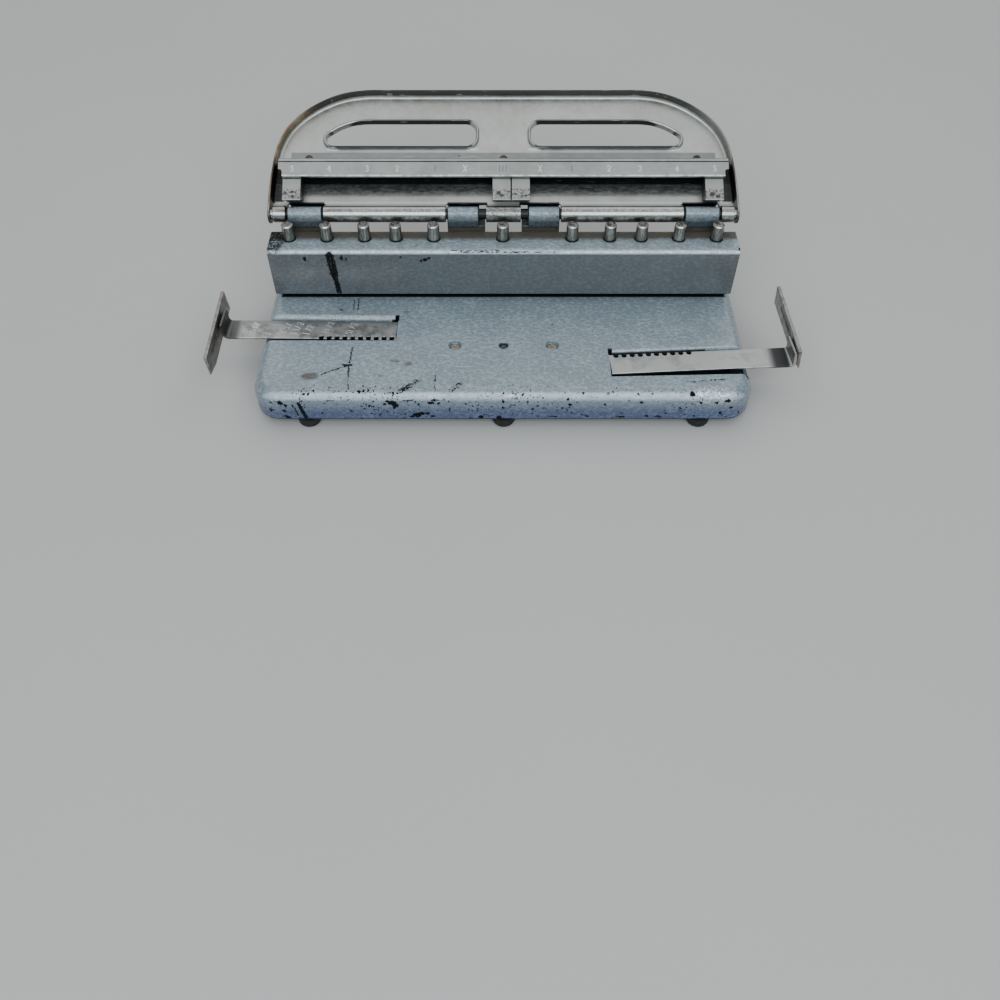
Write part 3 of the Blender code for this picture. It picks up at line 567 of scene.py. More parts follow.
def enamel(name, kind):
    m = Mat(name)
    x, y, z = m.xyz()
    t, cells, fine, wide, grain = hammer(m)
    tone = m.remap(t, 0.70, 1.04, 0.0, 1.0)
    tone = m.math("ADD", tone, m.remap(wide, 0.3, 0.7, -0.20, 0.20),
                  clamp=True)
    tone = m.math("ADD", tone, m.remap(fine, 0.30, 0.70, -0.15, 0.15),
                  clamp=True)
    # Painted shade and painted reflection: the front faces take darker copies of
    # the enamel's colour than the tops, bluish on the base, and the base's front
    # turns deeper blue towards the bottom.
    low = m.remap(z, 17.0, 9.0) if kind == "base" else 0.0
    if kind == "base":
        front = m.remap(z, 20.6, 17.0)
    else:
        front = m.mul(m.remap(z, 50.4, 48.6), m.remap(y, 2.0, 0.0))
    if kind == "base":
        ft_lo, ft_hi = (0.180, 0.235, 0.285), (0.270, 0.340, 0.410)
    else:
        ft_lo, ft_hi = (0.083, 0.097, 0.105), (0.130, 0.149, 0.161)
    lo_t = m.mix(front, (0.208, 0.266, 0.300), ft_lo)
    hi_t = m.mix(front, (0.352, 0.440, 0.486), ft_hi)
    lo_c = m.mix(low, lo_t, (0.045, 0.078, 0.165))
    hi_c = m.mix(low, hi_t, (0.115, 0.170, 0.320))
    col = m.mix(tone, lo_c, hi_c)
    rough = m.remap(fine, 0.3, 0.7, 0.36, 0.48)
    metal = 0.12
    height = m.add(m.mul(cells, -0.8), m.mul(fine, 0.5), m.mul(grain, 0.2))

    ragged = m.wobble(2.6, 0.9, 4.0)
    rag2 = m.wobble(3.0, 0.35, 4.0)
    chips_and_shade = []
    stains_and_shade = []
    dust = []
    wear_and_highlight = []
    if kind == "base":
        Y0 = BASE_Y[0] + Y_SHIFT
        for cx, cz, rx, rz in (
                (-107.2, 16.1, 1.7, 1.6), (-104.9, 14.5, 1.0, 1.3),
                (-111.8, 16.0, 0.9, 0.8), (-106.0, 11.0, 1.3, 1.0),
                (-73.8, 10.8, 0.9, 0.8), (-53.5, 16.1, 2.3, 1.7),
                (-34.9, 16.1, 2.1, 1.0), (-31.2, 15.8, 1.0, 0.7),
                (-42.1, 8.0, 2.6, 1.7), (-37.0, 9.2, 1.6, 1.0),
                (31.8, 14.9, 1.15, 1.1), (48.6, 15.1, 0.95, 0.8),
                (90.3, 19.9, 1.7, 1.1), (104.8, 9.7, 1.1, 1.2),
                (107.3, 17.2, 1.9, 1.0), (102.0, 16.2, 1.2, 0.9),
                (-11.0, 6.6, 1.6, 1.4), (-2.3, 6.6, 1.5, 1.3),
                (-18.0, 15.6, 0.8, 0.6), (7.5, 17.0, 0.5, 0.45),
                (20.0, 12.6, 0.5, 0.5), (60.0, 17.5, 0.6, 0.4),
                (77.5, 11.0, 0.6, 0.6), (-86.0, 15.8, 0.6, 0.5),
                (-64.0, 9.0, 0.55, 0.5), (-60.8, 17.9, 0.5, 0.4),
                (69.5, 7.4, 1.2, 0.8), (40.4, 7.2, 1.3, 0.6)):
            cy = Y0 + 0.2
            if cz > 15.0:
                k = min(1.0, (cz - 15.0) / 7.0)
                cy = Y0 + 7.0 * (1 - sqrt(max(0.0, 1 - k * k)))
            chips_and_shade.append(m.spot(ragged, (cx, cy, cz), (rx, 2.4, rz), 0.3))
        # slanting scrape down the front at the left, and the broken corner
        chips_and_shade.append(m.line(ragged, (-98.3, Y0, 15.6), (-96.3, Y0, 6.4), 1.25,
                            0.5))
        chips_and_shade.append(m.line(ragged, (-101.5, Y0, 15.0), (-99.6, Y0, 8.0), 0.5,
                            0.5))
        chips_and_shade.append(m.line(ragged, (-113.5, Y0 + 3.0, 12.0),
                            (-104.5, Y0 + 0.2, 6.2), 1.5, 0.6))
        # scratches in the top
        chips_and_shade.append(m.line(ragged, (-74.9, -42.5, 22), (-75.6, -57.0, 22),
                            0.42, 0.4))
        chips_and_shade.append(m.line(ragged, (-75.6, -55.0, 22), (-74.4, -71.0, 21.6),
                            0.48, 0.4))
        chips_and_shade.append(m.line(ragged, (-88.2, -61.6, 22), (-76.0, -55.2, 22),
                            0.50, 0.4))
        chips_and_shade.append(m.spot(ragged, (-77.6, -55.0, 22), (2.0, 0.7, 2), 0.4))
        chips_and_shade.append(m.spot(ragged, (-74.5, -55.1, 22), (1.1, 0.8, 2), 0.4))
        chips_and_shade.append(m.line(ragged, (-77.7, -5.4, 22), (-77.2, -13.2, 22),
                            0.34, 0.4))
        chips_and_shade.append(m.line(ragged, (-75.4, -4.6, 22), (-75.0, -13.9, 22),
                            0.42, 0.4))
        chips_and_shade.append(m.spot(ragged, (-83.8, -13.7, 22), (1.1, 0.8, 2), 0.5))
        # painted shade along the bottom edge
        chips_and_shade.append(m.mul(m.remap(z, 6.1, 5.5), 0.7))
        # the shaded insides of the gauges' slots
        deep = m.remap(z, 21.3, 20.5)
        chips_and_shade.append(m.mul(deep, m.remap(x, -50.3, -51.0),
                           m.remap(x, -119.4, -118.8), m.remap(y, -36.5, -35.5),
                           m.remap(y, -20.4, -21.2), 0.94))
        chips_and_shade.append(m.mul(deep, m.remap(x, -50.3, -51.0),
                           m.remap(x, -57.4, -56.8), m.remap(y, -36.5, -35.5),
                           m.remap(y, -12.0, -13.0)))
        yy = m.math("SUBTRACT", y, m.mul(m.math("SUBTRACT", x, 53.5), 0.0538))
        chips_and_shade.append(m.mul(deep, m.remap(x, 50.5, 51.5),
                           m.remap(x, 119.4, 118.8), m.remap(y, -63.0, -62.0),
                           m.remap(y, -39.5, -40.5), 0.94,
                           m.top(m.remap(x, 101.0, 100.0),
                                 m.remap(yy, -45.0, -45.8))))
        # painted shade: the base's top under the hood is painted black, seen as
        # the dark slit under the hood's front edge
        chips_and_shade.append(m.mul(m.remap(y, -3.6, -2.8), m.remap(z, 21.0, 21.6),
                           m.remap(m.math("ABSOLUTE", x), 116.4, 115.6)))
        # open screw hole between the two studs, painted black inside as shade
        chips_and_shade.append(m.mul(m.spot(m.P, (0.0, -40.5, 21.0), (3.4, 3.0, 1.4),
                                  0.4), 0.9))
        # more clusters of chips and cuts along the front
        for cx, cz, rx, rz in ((-52.0, 14.6, 1.9, 1.5), (-55.8, 17.0, 1.2, 0.8),
                               (-40.0, 9.0, 2.4, 1.5), (-44.6, 7.0, 1.3, 0.9),
                               (-34.4, 7.2, 1.6, 0.9), (-87.9, 9.4, 1.1, 0.6),
                               (-26.0, 12.0, 0.5, 1.6), (-33.0, 17.6, 2.6, 0.5),
                               (-46.0, 17.4, 3.4, 0.3), (-83.0, 17.2, 3.0, 0.25),
                               (66.0, 16.4, 0.9, 0.6), (85.0, 12.6, 0.8, 0.9),
                               (94.6, 16.4, 0.9, 0.8), (109.6, 13.0, 1.1, 0.9),
                               (-112.4, 11.0, 1.1, 1.3), (24.0, 7.0, 3.4, 0.5),
                               (57.0, 6.9, 3.0, 0.5), (75.0, 7.1, 2.4, 0.5)):
            cy = Y0 + 0.2
            if cz > 15.0:
                k = min(1.0, (cz - 15.0) / 7.0)
                cy = Y0 + 7.0 * (1 - sqrt(max(0.0, 1 - k * k)))
            chips_and_shade.append(m.spot(ragged, (cx, cy, cz), (rx, 2.4, rz), 0.3))
        # brown stains
        stains_and_shade.append(m.spot(rag2, (-94.0, -63.0, 22), (5.6, 3.2, 3), 0.5))
        stains_and_shade.append(m.mul(0.8, m.spot(rag2, (-53.0, -52.4, 22),
                                        (3.4, 1.8, 3), 0.7)))
        stains_and_shade.append(m.mul(0.8, m.spot(rag2, (-46.5, -54.2, 22),
                                        (4.0, 1.8, 3), 0.7)))
        stains_and_shade.append(m.mul(0.6, m.spot(rag2, (-59.4, -62.6, 22),
                                        (2.4, 1.2, 3), 0.7)))
        stains_and_shade.append(m.mul(0.6, m.spot(rag2, (-50.5, -15.4, 22),
                                        (3.6, 1.8, 3), 0.8)))
        # black smears near the front edge
        brk = m.remap(m.noise(0.9, 3.0, 0.7), 0.46, 0.56)
        chips_and_shade.append(m.mul(brk, m.line(rag2, (-49.5, -72.6, 21.0),
                                       (-41.5, -66.3, 22), 1.9, 0.45)))
        chips_and_shade.append(m.mul(brk, m.line(rag2, (-26.0, -72.8, 21.0),
                                       (-20.5, -68.2, 22), 1.7, 0.45)))
        chips_and_shade.append(m.mul(brk, m.line(rag2, (88.5, -66.8, 22),
                                       (106.0, -65.2, 22), 0.7, 0.6)))
        chips_and_shade.append(m.mul(brk, m.line(rag2, (-33.0, -57.0, 22),
                                       (-33.0, -72.0, 21.6), 0.5, 0.6)))
        # bare bright metal at the worn right corner and along the edge
        nb = m.noise(0.55, 4.0, 0.62)
        corner = m.spot(m.P, (100.0, -73.4, 19.0), (15.0, 6.0, 6.0), 0.7)
        wear_and_highlight.append(m.mul(corner, m.remap(nb, 0.50, 0.54)))
        # painted highlight: paler bands along the rear lips of the gauges' slots
        wear_and_highlight.append(m.mul(0.55, m.line(m.P, (-126.0, -17.8, 21.8),
                                       (-54.6, -18.8, 21.8), 1.5, 0.7),
                          m.remap(m.noise(1.3, 3.0, 0.7), 0.38, 0.56)))
        wear_and_highlight.append(m.mul(0.40, m.line(m.P, (53.5, -44.6, 21.7),
                                       (126.0, -40.7, 21.8), 1.2, 0.7),
                          m.remap(m.noise(1.3, 3.0, 0.7), 0.40, 0.58)))
        edge = m.mul(m.spot(m.P, (0.0, -74.6, 18.4), (240.0, 2.6, 2.9), 0.8),
                     m.remap(m.noise(0.16, 4.0, 0.7), 0.56, 0.62))
        wear_and_highlight.append(m.mul(edge, m.remap(nb, 0.47, 0.54), 0.8))
        # many small black flecks over the front and its rounded edge
        band = m.mul(m.remap(y, -66.0, -72.5, 0.10, 1.0),
                     m.remap(x, -30.0, 25.0, 1.0, 0.74))
        patch = m.remap(m.noise(0.05, 2.0, 0.6), 0.35, 0.65, 0.45, 1.0)
        for sc, r0, th in ((0.42, 0.46, 0.38), (0.85, 0.52, 0.34)):
            d = m.voronoi(sc, ragged)
            c = m.split(m.voronoi(sc, ragged, out="Color"))[0]
            r = m.mul(m.remap(c, th, 1.0, 0.0, r0, smooth=False), band, patch)
            dust.append(m.math("GREATER_THAN", m.math("SUBTRACT", r, d), 0.0))
        # speckled dirt, sparser, all over the top
        d = m.voronoi(0.16, ragged)
        c = m.split(m.voronoi(0.16, ragged, out="Color"))[0]
        dust.append(m.mul(0.7, m.math("GREATER_THAN", m.math(
            "SUBTRACT", m.remap(c, 0.86, 1.0, 0.0, 0.12, smooth=False), d),
            0.0)))
    else:
        F0 = HOOD_Y[0] + Y_SHIFT
        # long black scrape down the front at the left
        stroke = m.remap(m.noise(1.5, 3.0, 0.7, vec=m.vec(
            "MULTIPLY", m.P, (1.3, 1.0, 0.45))), 0.34, 0.44)
        chips_and_shade.append(m.mul(m.line(ragged, (-87.2, F0, 48.0),
                                  (-86.3, F0, 37.0), 2.5, 0.3), stroke))
        chips_and_shade.append(m.mul(m.line(ragged, (-86.3, F0, 39.5),
                                  (-85.3, F0, 25.8), 1.7, 0.4),
                           m.mixf(stroke, 0.6, 1.0)))
        for cx, cz, rx, rz in ((-100.0, 46.3, 1.1, 1.9), (-81.4, 47.0, 0.9, 2.0),
                               (-78.9, 46.2, 0.5, 1.4), (-39.4, 45.9, 1.6, 1.5),
                               (-37.4, 46.8, 1.0, 0.9), (-51.6, 47.6, 0.7, 0.9),
                               (-41.4, 45.0, 0.7, 1.2)):
            chips_and_shade.append(m.spot(ragged, (cx, F0, cz), (rx, 2.2, rz), 0.45))
        # rubbed black line just under the front top edge
        brk = m.remap(m.noise(0.5, 4.0, 0.7), 0.44, 0.52)
        chips_and_shade.append(m.mul(brk, m.line(m.wobble(0.9, 0.5), (-22.0, -3.0, 49.9),
                                       (27.0, -3.0, 49.9), 0.45, 0.4)))
        chips_and_shade.append(m.mul(brk, m.line(m.wobble(0.9, 0.5), (-26.0, -2.4, 50.4),
                                       (-2.0, -2.4, 50.4), 0.35, 0.4)))
        chips_and_shade.append(m.spot(ragged, (118.3, -1.6, 50.5), (1.1, 1.3, 1.4), 0.4))
        chips_and_shade.append(m.spot(ragged, (-118.3, -1.8, 50.3), (0.8, 1.0, 1.2), 0.4))
        chips_and_shade.append(m.spot(ragged, (-118.2, 6.0, 50.9), (1.4, 1.0, 1.0), 0.5))
        chips_and_shade.append(m.mul(0.6, m.spot(ragged, (-43.6, 1.2, 50.9),
                                       (1.3, 1.0, 1), 0.6)))
        wear_and_highlight.append(m.spot(ragged, (118.0, -3.2, 50.0), (0.8, 0.9, 0.8), 0.3))
        edge = m.spot(m.P, (0.0, -2.7, 50.0), (400.0, 1.5, 1.6), 0.8)
        wear_and_highlight.append(m.mul(edge, m.remap(m.noise(0.5, 4.0, 0.65), 0.52, 0.58),
                          0.7))
        # painted shade and painted dark reflection: brown darkening across the
        # rear of the top, behind and around the pins and at both ends
        rear_top_shade = m.remap(m.add(y, m.mul(m.noise(0.3, 3.0, 0.6), 3.0)),
                       5.6, 9.8)
        for px in PIN_X:
            rear_top_shade = m.top(rear_top_shade, m.spot(rag2,
                                      (px, PIN_Y + Y_SHIFT + 2.4, 50.9),
                                      (8.0, 6.6, 3.0), 0.8))
        ends = m.top(m.spot(rag2, (-115.5, 8.5, 50.9), (7.0, 5.5, 3.0), 0.6),
                     m.spot(rag2, (114.0, 9.5, 50.9), (5.0, 4.0, 3.0), 0.7))
        rear_top_shade = m.mul(m.top(rear_top_shade, ends),
                     m.remap(z, 49.0, 50.6), m.remap(z, 54.0, 52.0))
        stains_and_shade.append(m.mul(rear_top_shade, 0.95))
        # lugs: scuffed at the top; painted shade, darker low down and black on
        # the necks
        neck = m.mul(m.remap(z, 51.6, 52.6), m.remap(z, 58.6, 55.4),
                     m.remap(y, 21.5, 20.0))
        chips_and_shade.append(m.mul(neck, m.remap(fine, 0.3, 0.7, 0.60, 0.92)))
        chips_and_shade.append(m.mul(m.remap(z, 52.0, 52.6), m.remap(z, 60.4, 56.4),
                           m.remap(y, 21.5, 20.0), 0.42))
        # painted shade: black lines at both sides of each lug
        axx = m.math("ABSOLUTE", x)
        for e0, e1 in (OUTER_LUG, INNER_LUG):
            side = m.top(m.remap(axx, e0 + 0.65, e0 + 0.35),
                         m.remap(axx, e1 - 0.65, e1 - 0.35))
            near = m.mul(m.remap(axx, e0 - 0.6, e0 - 0.2),
                         m.remap(axx, e1 + 0.6, e1 + 0.2))
            chips_and_shade.append(m.mul(side, near, m.remap(z, 52.6, 53.6), 0.9))
        # painted shade: the hollow behind the lugs, painted black
        chips_and_shade.append(m.mul(m.remap(y, 20.1, 20.7), m.remap(z, 53.0, 55.0)))
        # scored left end of the top
        hatch = m.noise(0.8, 3.0, 0.7, vec=m.vec("MULTIPLY", m.P,
                                                (1.0, 1.0, 0.4)))
        chips_and_shade.append(m.mul(m.spot(rag2, (-117.5, 5.0, 50.5), (9.0, 13.0, 3.0),
                                  0.4), m.remap(hatch, 0.40, 0.48), 0.92))
        rear = m.mul(m.remap(z, 56.0, 53.0), m.remap(y, 13.4, 15.0),
                     m.remap(m.noise(0.12, 3.0, 0.6), 0.35, 0.7))
        stains_and_shade.append(m.mul(rear, 0.35))
        d = m.voronoi(0.5, ragged)
        c = m.split(m.voronoi(0.5, ragged, out="Color"))[0]
        lug = m.remap(z, 56.5, 58.0)
        dust.append(m.mul(lug, 0.8, m.math("GREATER_THAN", m.math(
            "SUBTRACT", m.remap(c, 0.80, 1.0, 0.0, 0.26, smooth=False), d),
            0.0)))
        d = m.voronoi(0.22, ragged)
        c = m.split(m.voronoi(0.22, ragged, out="Color"))[0]
        dust.append(m.mul(0.7, m.math("GREATER_THAN", m.math(
            "SUBTRACT", m.remap(c, 0.88, 1.0, 0.0, 0.14, smooth=False), d),
            0.0)))
    stain_and_shade = m.top(*stains_and_shade)
    black = m.math("MINIMUM", m.top(*(chips_and_shade + dust)), 1.0)
    wear_and_highlight_mix = m.top(*wear_and_highlight)
    # painted highlight: a paler band along the base's rounded front edge and the
    # hood's front top edge
    if kind == "base":
        painted_edge_highlight = m.mul(m.remap(z, 16.6, 18.6), m.remap(z, 21.2, 19.9),
                    m.remap(y, -71.5, -73.2))
        painted_edge_highlight = m.mul(painted_edge_highlight, m.remap(m.noise(0.25, 4.0, 0.7), 0.30, 0.62, 0.55,
                                 1.0))
    else:
        painted_edge_highlight = m.mul(m.remap(z, 48.6, 49.6), m.remap(z, 50.85, 50.4),
                    m.remap(y, -1.9, -2.7))
        painted_edge_highlight = m.mul(painted_edge_highlight, m.remap(m.noise(0.35, 4.0, 0.7), 0.32, 0.60, 0.60,
                                 1.0))
    col = m.mix(m.mul(painted_edge_highlight, 0.85), col, (0.66, 0.78, 0.86))
    col = m.mix(m.mul(wear_and_highlight_mix, 0.85), col, (0.80, 0.82, 0.83))
    brown = (0.110, 0.082, 0.060) if kind == "base" else (0.085, 0.071, 0.049)
    spread = m.remap(m.noise(1.1, 3.0, 0.7), 0.30, 0.62)
    amount = m.mul(stain_and_shade, m.mixf(spread, 0.55, 1.0)) if kind == "base" \
        else stain_and_shade
    col = m.mix(amount, col, brown)
    col = m.mix(black, col, (0.004, 0.004, 0.005))
    m.set("Base Color", col)
    rough = m.mixf(wear_and_highlight_mix, rough, 0.28)
    rough = m.mixf(black, rough, 0.8)
    m.set("Roughness", rough)
    m.set("Metallic", m.mixf(black, m.mixf(wear_and_highlight_mix, metal, 0.9), 0.0))
    m.set("Specular IOR Level", 0.2)
    m.set("Coat Weight", m.mixf(m.top(black, m.mul(stain_and_shade, 0.7)), 0.85, 0.0))
    m.set("Coat IOR", 1.9)
    m.set("Coat Roughness", 0.16)
    if kind != "base":
        height = m.mul(height, m.mixf(front, 1.0, 0.35))
    height = m.math("SUBTRACT", height, m.mul(black, 0.5))
    nrm = m.bump(height, 0.30, 0.7)
    m.set("Normal", nrm)
    m.set("Coat Normal", nrm)
    return m.m


def nickel(name, col_a, col_b, rough, kind="plain"):
    m = Mat(name)
    x, y, z = m.xyz()
    wide = m.noise(0.035, 4.0, 0.6)
    mid = m.noise(0.22, 4.0, 0.62)
    fine = m.noise(1.4, 4.0, 0.7)
    tone = m.add(m.mul(m.remap(wide, 0.32, 0.68), 0.55),
                 m.mul(m.remap(mid, 0.3, 0.7), 0.45))
    col = m.mix(tone, col_a, col_b)
    rg = m.add(rough, m.remap(mid, 0.3, 0.7, -0.05, 0.07),
               m.remap(fine, 0.3, 0.7, -0.03, 0.03))
    height = m.add(m.mul(fine, 0.4), m.mul(mid, 0.6))
    dark = []
    tarnish = []
    bright = []
    rag = m.wobble(1.2, 1.0, 3.0)
    # frame of the handle: along its sheet and out of it
    ys = m.math("SUBTRACT", y, AXIS_Y + Y_SHIFT)
    zs = m.math("SUBTRACT", z, AXIS_Z)
    s = m.add(m.mul(ys, sin(LEAN)), m.mul(zs, cos(LEAN)))
    n = m.add(m.mul(ys, -cos(LEAN)), m.mul(zs, sin(LEAN)))
    H = m.join(x, s, n)
    scratch = None
    if kind == "handle":
        # brown tarnish inside the flange, mostly at the left shoulder
        ax = m.math("ABSOLUTE", x)
        off = m.top(m.remap(ax, 94.0, 97.0), m.remap(s, 55.0, 58.0))
        inside = m.mul(m.remap(n, -2.0, -1.0), m.remap(s, -4.0, 8.0), off)
        left = m.remap(x, -60.0, -104.0)
        tarnish.append(m.mul(inside, m.mixf(left, 0.35, 1.0),
                             m.remap(m.noise(0.12, 3.0, 0.6), 0.3, 0.6, 0.6,
                                     1.0)))
        # painted shade and painted dark reflection under the scale bar, streaked,
        # black next to the bar
        sc = m.vec("MULTIPLY", H, (0.45, 1.6, 1.0))
        streak = m.noise(0.6, 4.0, 0.75, vec=sc)
        front = m.remap(n, -3.9, -3.5)
        face = m.mul(m.remap(n, -1.9, -2.3), front)
        under = m.mul(m.remap(s, 9.8, 11.6), m.remap(s, 29.0, 27.5), face)
        dark.append(m.mul(under, m.remap(s, 9.8, 14.0, 0.55, 1.0),
                          m.remap(streak, 0.30, 0.70, 0.48, 0.93)))
        dark.append(m.mul(m.remap(s, 15.5, 17.8), m.remap(s, 29.0, 27.5),
                          face, 0.98))
        # painted shade at the edges of the lugs' windows
        by_lug = m.top(m.mul(m.remap(ax, OUTER_LUG[0] - 0.6, OUTER_LUG[0]),
                             m.remap(ax, OUTER_LUG[1] + 0.6, OUTER_LUG[1])),
                       m.mul(m.remap(ax, INNER_LUG[0] - 4.6, INNER_LUG[0] - 4),
                             m.remap(ax, INNER_LUG[1] + 0.6, INNER_LUG[1])))
        dark.append(m.mul(m.remap(s, 7.9, 7.3), m.remap(s, 2.0, 3.0),
                          m.remap(n, -1.5, -1.8), by_lug, 0.96))
        # painted light: the step where the sheet runs into the barrels is made
        # paler
        valley = m.mul(m.remap(s, 2.4, 3.4), m.remap(s, 8.2, 7.4), front,
                       m.math("SUBTRACT", 1.0, by_lug))
        bright.append(m.mul(valley, m.remap(ax, 117.0, 116.0), 0.8))
        # thin seam above the rolled barrels
        dark.append(m.mul(0.25, m.spot(m.join(0.0, s, n), (0, 6.85, -2.6),
                                       (1.0, 0.32, 0.6), 0.5)))
        # painted shade: black corners between the flange and the pressers
        dark.append(m.mul(m.remap(ax, 111.4, 112.6), m.remap(s, 6.2, 7.4),
                          m.remap(s, 27.0, 25.0), m.remap(n, 4.0, 2.0),
                          0.93))
        # painted shade and painted dark reflection inside the flange, above all
        # along the top
        wall = m.mul(off, m.remap(n, -1.5, -0.6),
                     m.remap(s, 30.0, 58.0, 0.35, 0.93))
        gold = m.mul(left, m.remap(s, 57.0, 50.0))
        dark.append(m.mul(wall, m.remap(ax, 113.5, 92.0, 0.55, 1.0),
                          m.mixf(gold, 1.0, 0.30)))
        # painted shade on the ears' lower ends and on the flange's inner faces
        # beside them
        dark.append(m.mul(0.85, m.remap(ax, 116.5, 116.9),
                          m.remap(s, 0.4, -1.6)))
        dark.append(m.mul(0.8, m.remap(ax, 117.6, 117.2), m.remap(n, -2.0,
                                                                -1.0),
                          m.remap(ax, 115.6, 116.4), m.remap(s, 34.0, 27.0)))
        top = m.mul(m.remap(s, 56.0, 62.0), m.remap(n, -1.7, -2.2),
                    m.remap(m.noise(0.5, 4.0, 0.7), 0.45, 0.62))
        dark.append(m.mul(top, 0.12))
        # barrels: a polished crown with an uneven darker band across it, the
        # centre barrel's ends darker, and painted shade on the lower side
        r = m.vec("LENGTH", m.join(0.0, s, n))
        brl = m.remap(r, BARREL_R + 0.6, BARREL_R + 0.1)
        crown_dark_band = m.mul(brl, m.remap(s, 1.2, 0.2), m.remap(s, -1.4, -0.5))
        dark.append(m.mul(crown_dark_band, m.remap(m.noise(0.7, 4.0, 0.75), 0.38, 0.60),
                          0.60))
        mid_b = m.remap(m.math("ABSOLUTE", x), 9.6, 8.9)
        dark.append(m.mul(brl, mid_b, m.remap(m.noise(0.9, 4.0, 0.75), 0.34,
                                              0.66, 0.12, 0.80)))
        low = m.mul(brl, m.remap(s, -1.8, -3.6))
        dark.append(m.mul(low, m.remap(m.noise(0.35, 3.0, 0.7), 0.35, 0.65,
                                       0.25, 0.8)))
        tarnish.append(m.mul(0.16, m.remap(m.noise(0.06, 3.0, 0.6), 0.56,
                                           0.72)))
        # painted highlights on the lower corners of the hand holes' rims
        for cx in (-16.2, -88.2, 16.2, 88.2):
            bright.append(m.spot(H, (cx, 36.7, -2.2), (4.2, 1.0, 1.6), 0.4))
        # painted shade and painted dark reflection on the inner edges of the hand
        # holes, along the arch too
        drop = m.mul(m.math("POWER", m.remap(ax, 66.0, 89.0), 2.2), 6.55)
        sr = m.add(s, drop)
        span = m.mul(m.remap(ax, 91.8, 87.5), m.remap(ax, 13.8, 18.0))
        dark.append(m.mul(m.remap(sr, 50.6, 51.1), m.remap(sr, 52.5, 51.9),
                          span, front, 0.93))
        dark.append(m.mul(m.remap(s, 39.2, 38.9), m.remap(s, 36.3, 36.8),
                          m.remap(ax, 91.0, 88.6), m.remap(ax, 14.6, 17.0),
                          front, 0.93))
        rg = m.mixf(brl, rg, 0.24)
        rg = m.mixf(valley, rg, 0.70)
        scr = m.noise(0.35, 2.0, 0.5, vec=m.vec("MULTIPLY", H,
                                               (0.35, 9.0, 1.0)))
        scratch = m.remap(scr, 0.66, 0.69)
    elif kind == "bar":
        scr = m.noise(0.30, 2.0, 0.5, vec=m.vec("MULTIPLY", H,
                                               (0.3, 9.0, 1.0)))
        scratch = m.remap(scr, 0.62, 0.66)
        # a pale rubbed lower edge
        bright.append(m.mul(m.remap(s, 17.7, 16.9), m.remap(n, 6.8, 7.3),
                            m.remap(m.noise(0.25, 3.0, 0.6), 0.35, 0.6)))
        dark.append(m.mul(0.90, m.remap(s, 24.05, 24.25),
                          m.remap(s, 24.85, 24.6), m.remap(n, 6.0, 6.6)))
        dark.append(m.mul(0.35, m.remap(s, 26.0, 26.8), m.remap(n, 6.9,
                                                               6.3)))
        dark.append(m.mul(0.8, m.remap(n, 1.2, 0.0), m.remap(s, 26.6, 27.2),
                          m.remap(s, 28.6, 27.8)))
        dark.append(m.mul(0.9, m.spot(H, (-22.8, 32.2, -1.0), (0.75, 0.6, 2),
                                      0.5)))
    elif kind == "presser":
        # scuffed feet where they strike the pins
        face = m.remap(n, 4.6, 5.1)
        nz = m.noise(0.9, 4.0, 0.75, vec=rag)
        dark.append(m.mul(face, m.remap(s, 11.6, 10.0), m.remap(s, 4.8, 6.6),
                          m.remap(nz, 0.50, 0.57), 0.85))
        for cx, cs, rx, rs in ((-106.3, 9.2, 1.5, 0.9), (-106.0, 6.6, 1.1, 1.0),
                               (-2.4, 8.8, 1.2, 1.0), (-1.0, 7.4, 1.7, 0.8),
                               (6.0, 10.7, 3.0, 0.25), (11.4, 7.4, 1.6, 0.4),
                               (105.0, 8.0, 1.8, 1.5), (107.8, 6.9, 1.4, 1.2)):
            dark.append(m.mul(face, 0.85, m.spot(
                m.vec("ADD", H, m.vec("SUBTRACT", rag, m.P)),
                (cx, cs, 5.3), (rx, rs, 2.0), 0.4)))
        # painted shade on the block's sides and lower faces, below its front face
        dark.append(m.mul(0.75, m.remap(n, 4.2, 3.4)))
    elif kind == "strip_left":
        nz = m.noise(0.18, 4.0, 0.65)
        dark.append(m.remap(nz, 0.40, 0.66, 0.08, 0.58))
        near = m.spot(rag, (-64.5, -26.0, 20.4), (9.0, 3.4, 3), 0.6)
        dark.append(m.mul(near, m.remap(m.noise(0.8, 4.0, 0.7, vec=m.vec(
            "MULTIPLY", m.P, (0.4, 1.6, 1.0))), 0.45, 0.6), 0.6))
        # painted dark reflection on the strip's outer end and its bend up to the
        # tab
        bend = m.mul(m.remap(x, -131.0, -136.0), 0.75)
        dark.append(bend)
        dark.append(m.mul(0.45, m.remap(y, -23.4, -22.2)))
    elif kind == "strip_right":
        nz = m.noise(0.12, 3.0, 0.6)
        dark.append(m.remap(nz, 0.45, 0.72, 0.08, 0.36))
        # painted dark reflection on the strip's outer end and its bend up to the
        # tab
        dark.append(m.mul(m.remap(x, 128.5, 134.5), m.remap(x, 141.5, 139.5),
                          0.92))
    elif kind == "stop":
        dark.append(m.remap(m.noise(0.3, 3.0, 0.65), 0.3, 0.7, 0.15, 0.55))
        tarnish.append(m.mul(0.5, m.remap(m.noise(0.1, 3.0, 0.6), 0.4, 0.7)))
    elif kind == "pin":
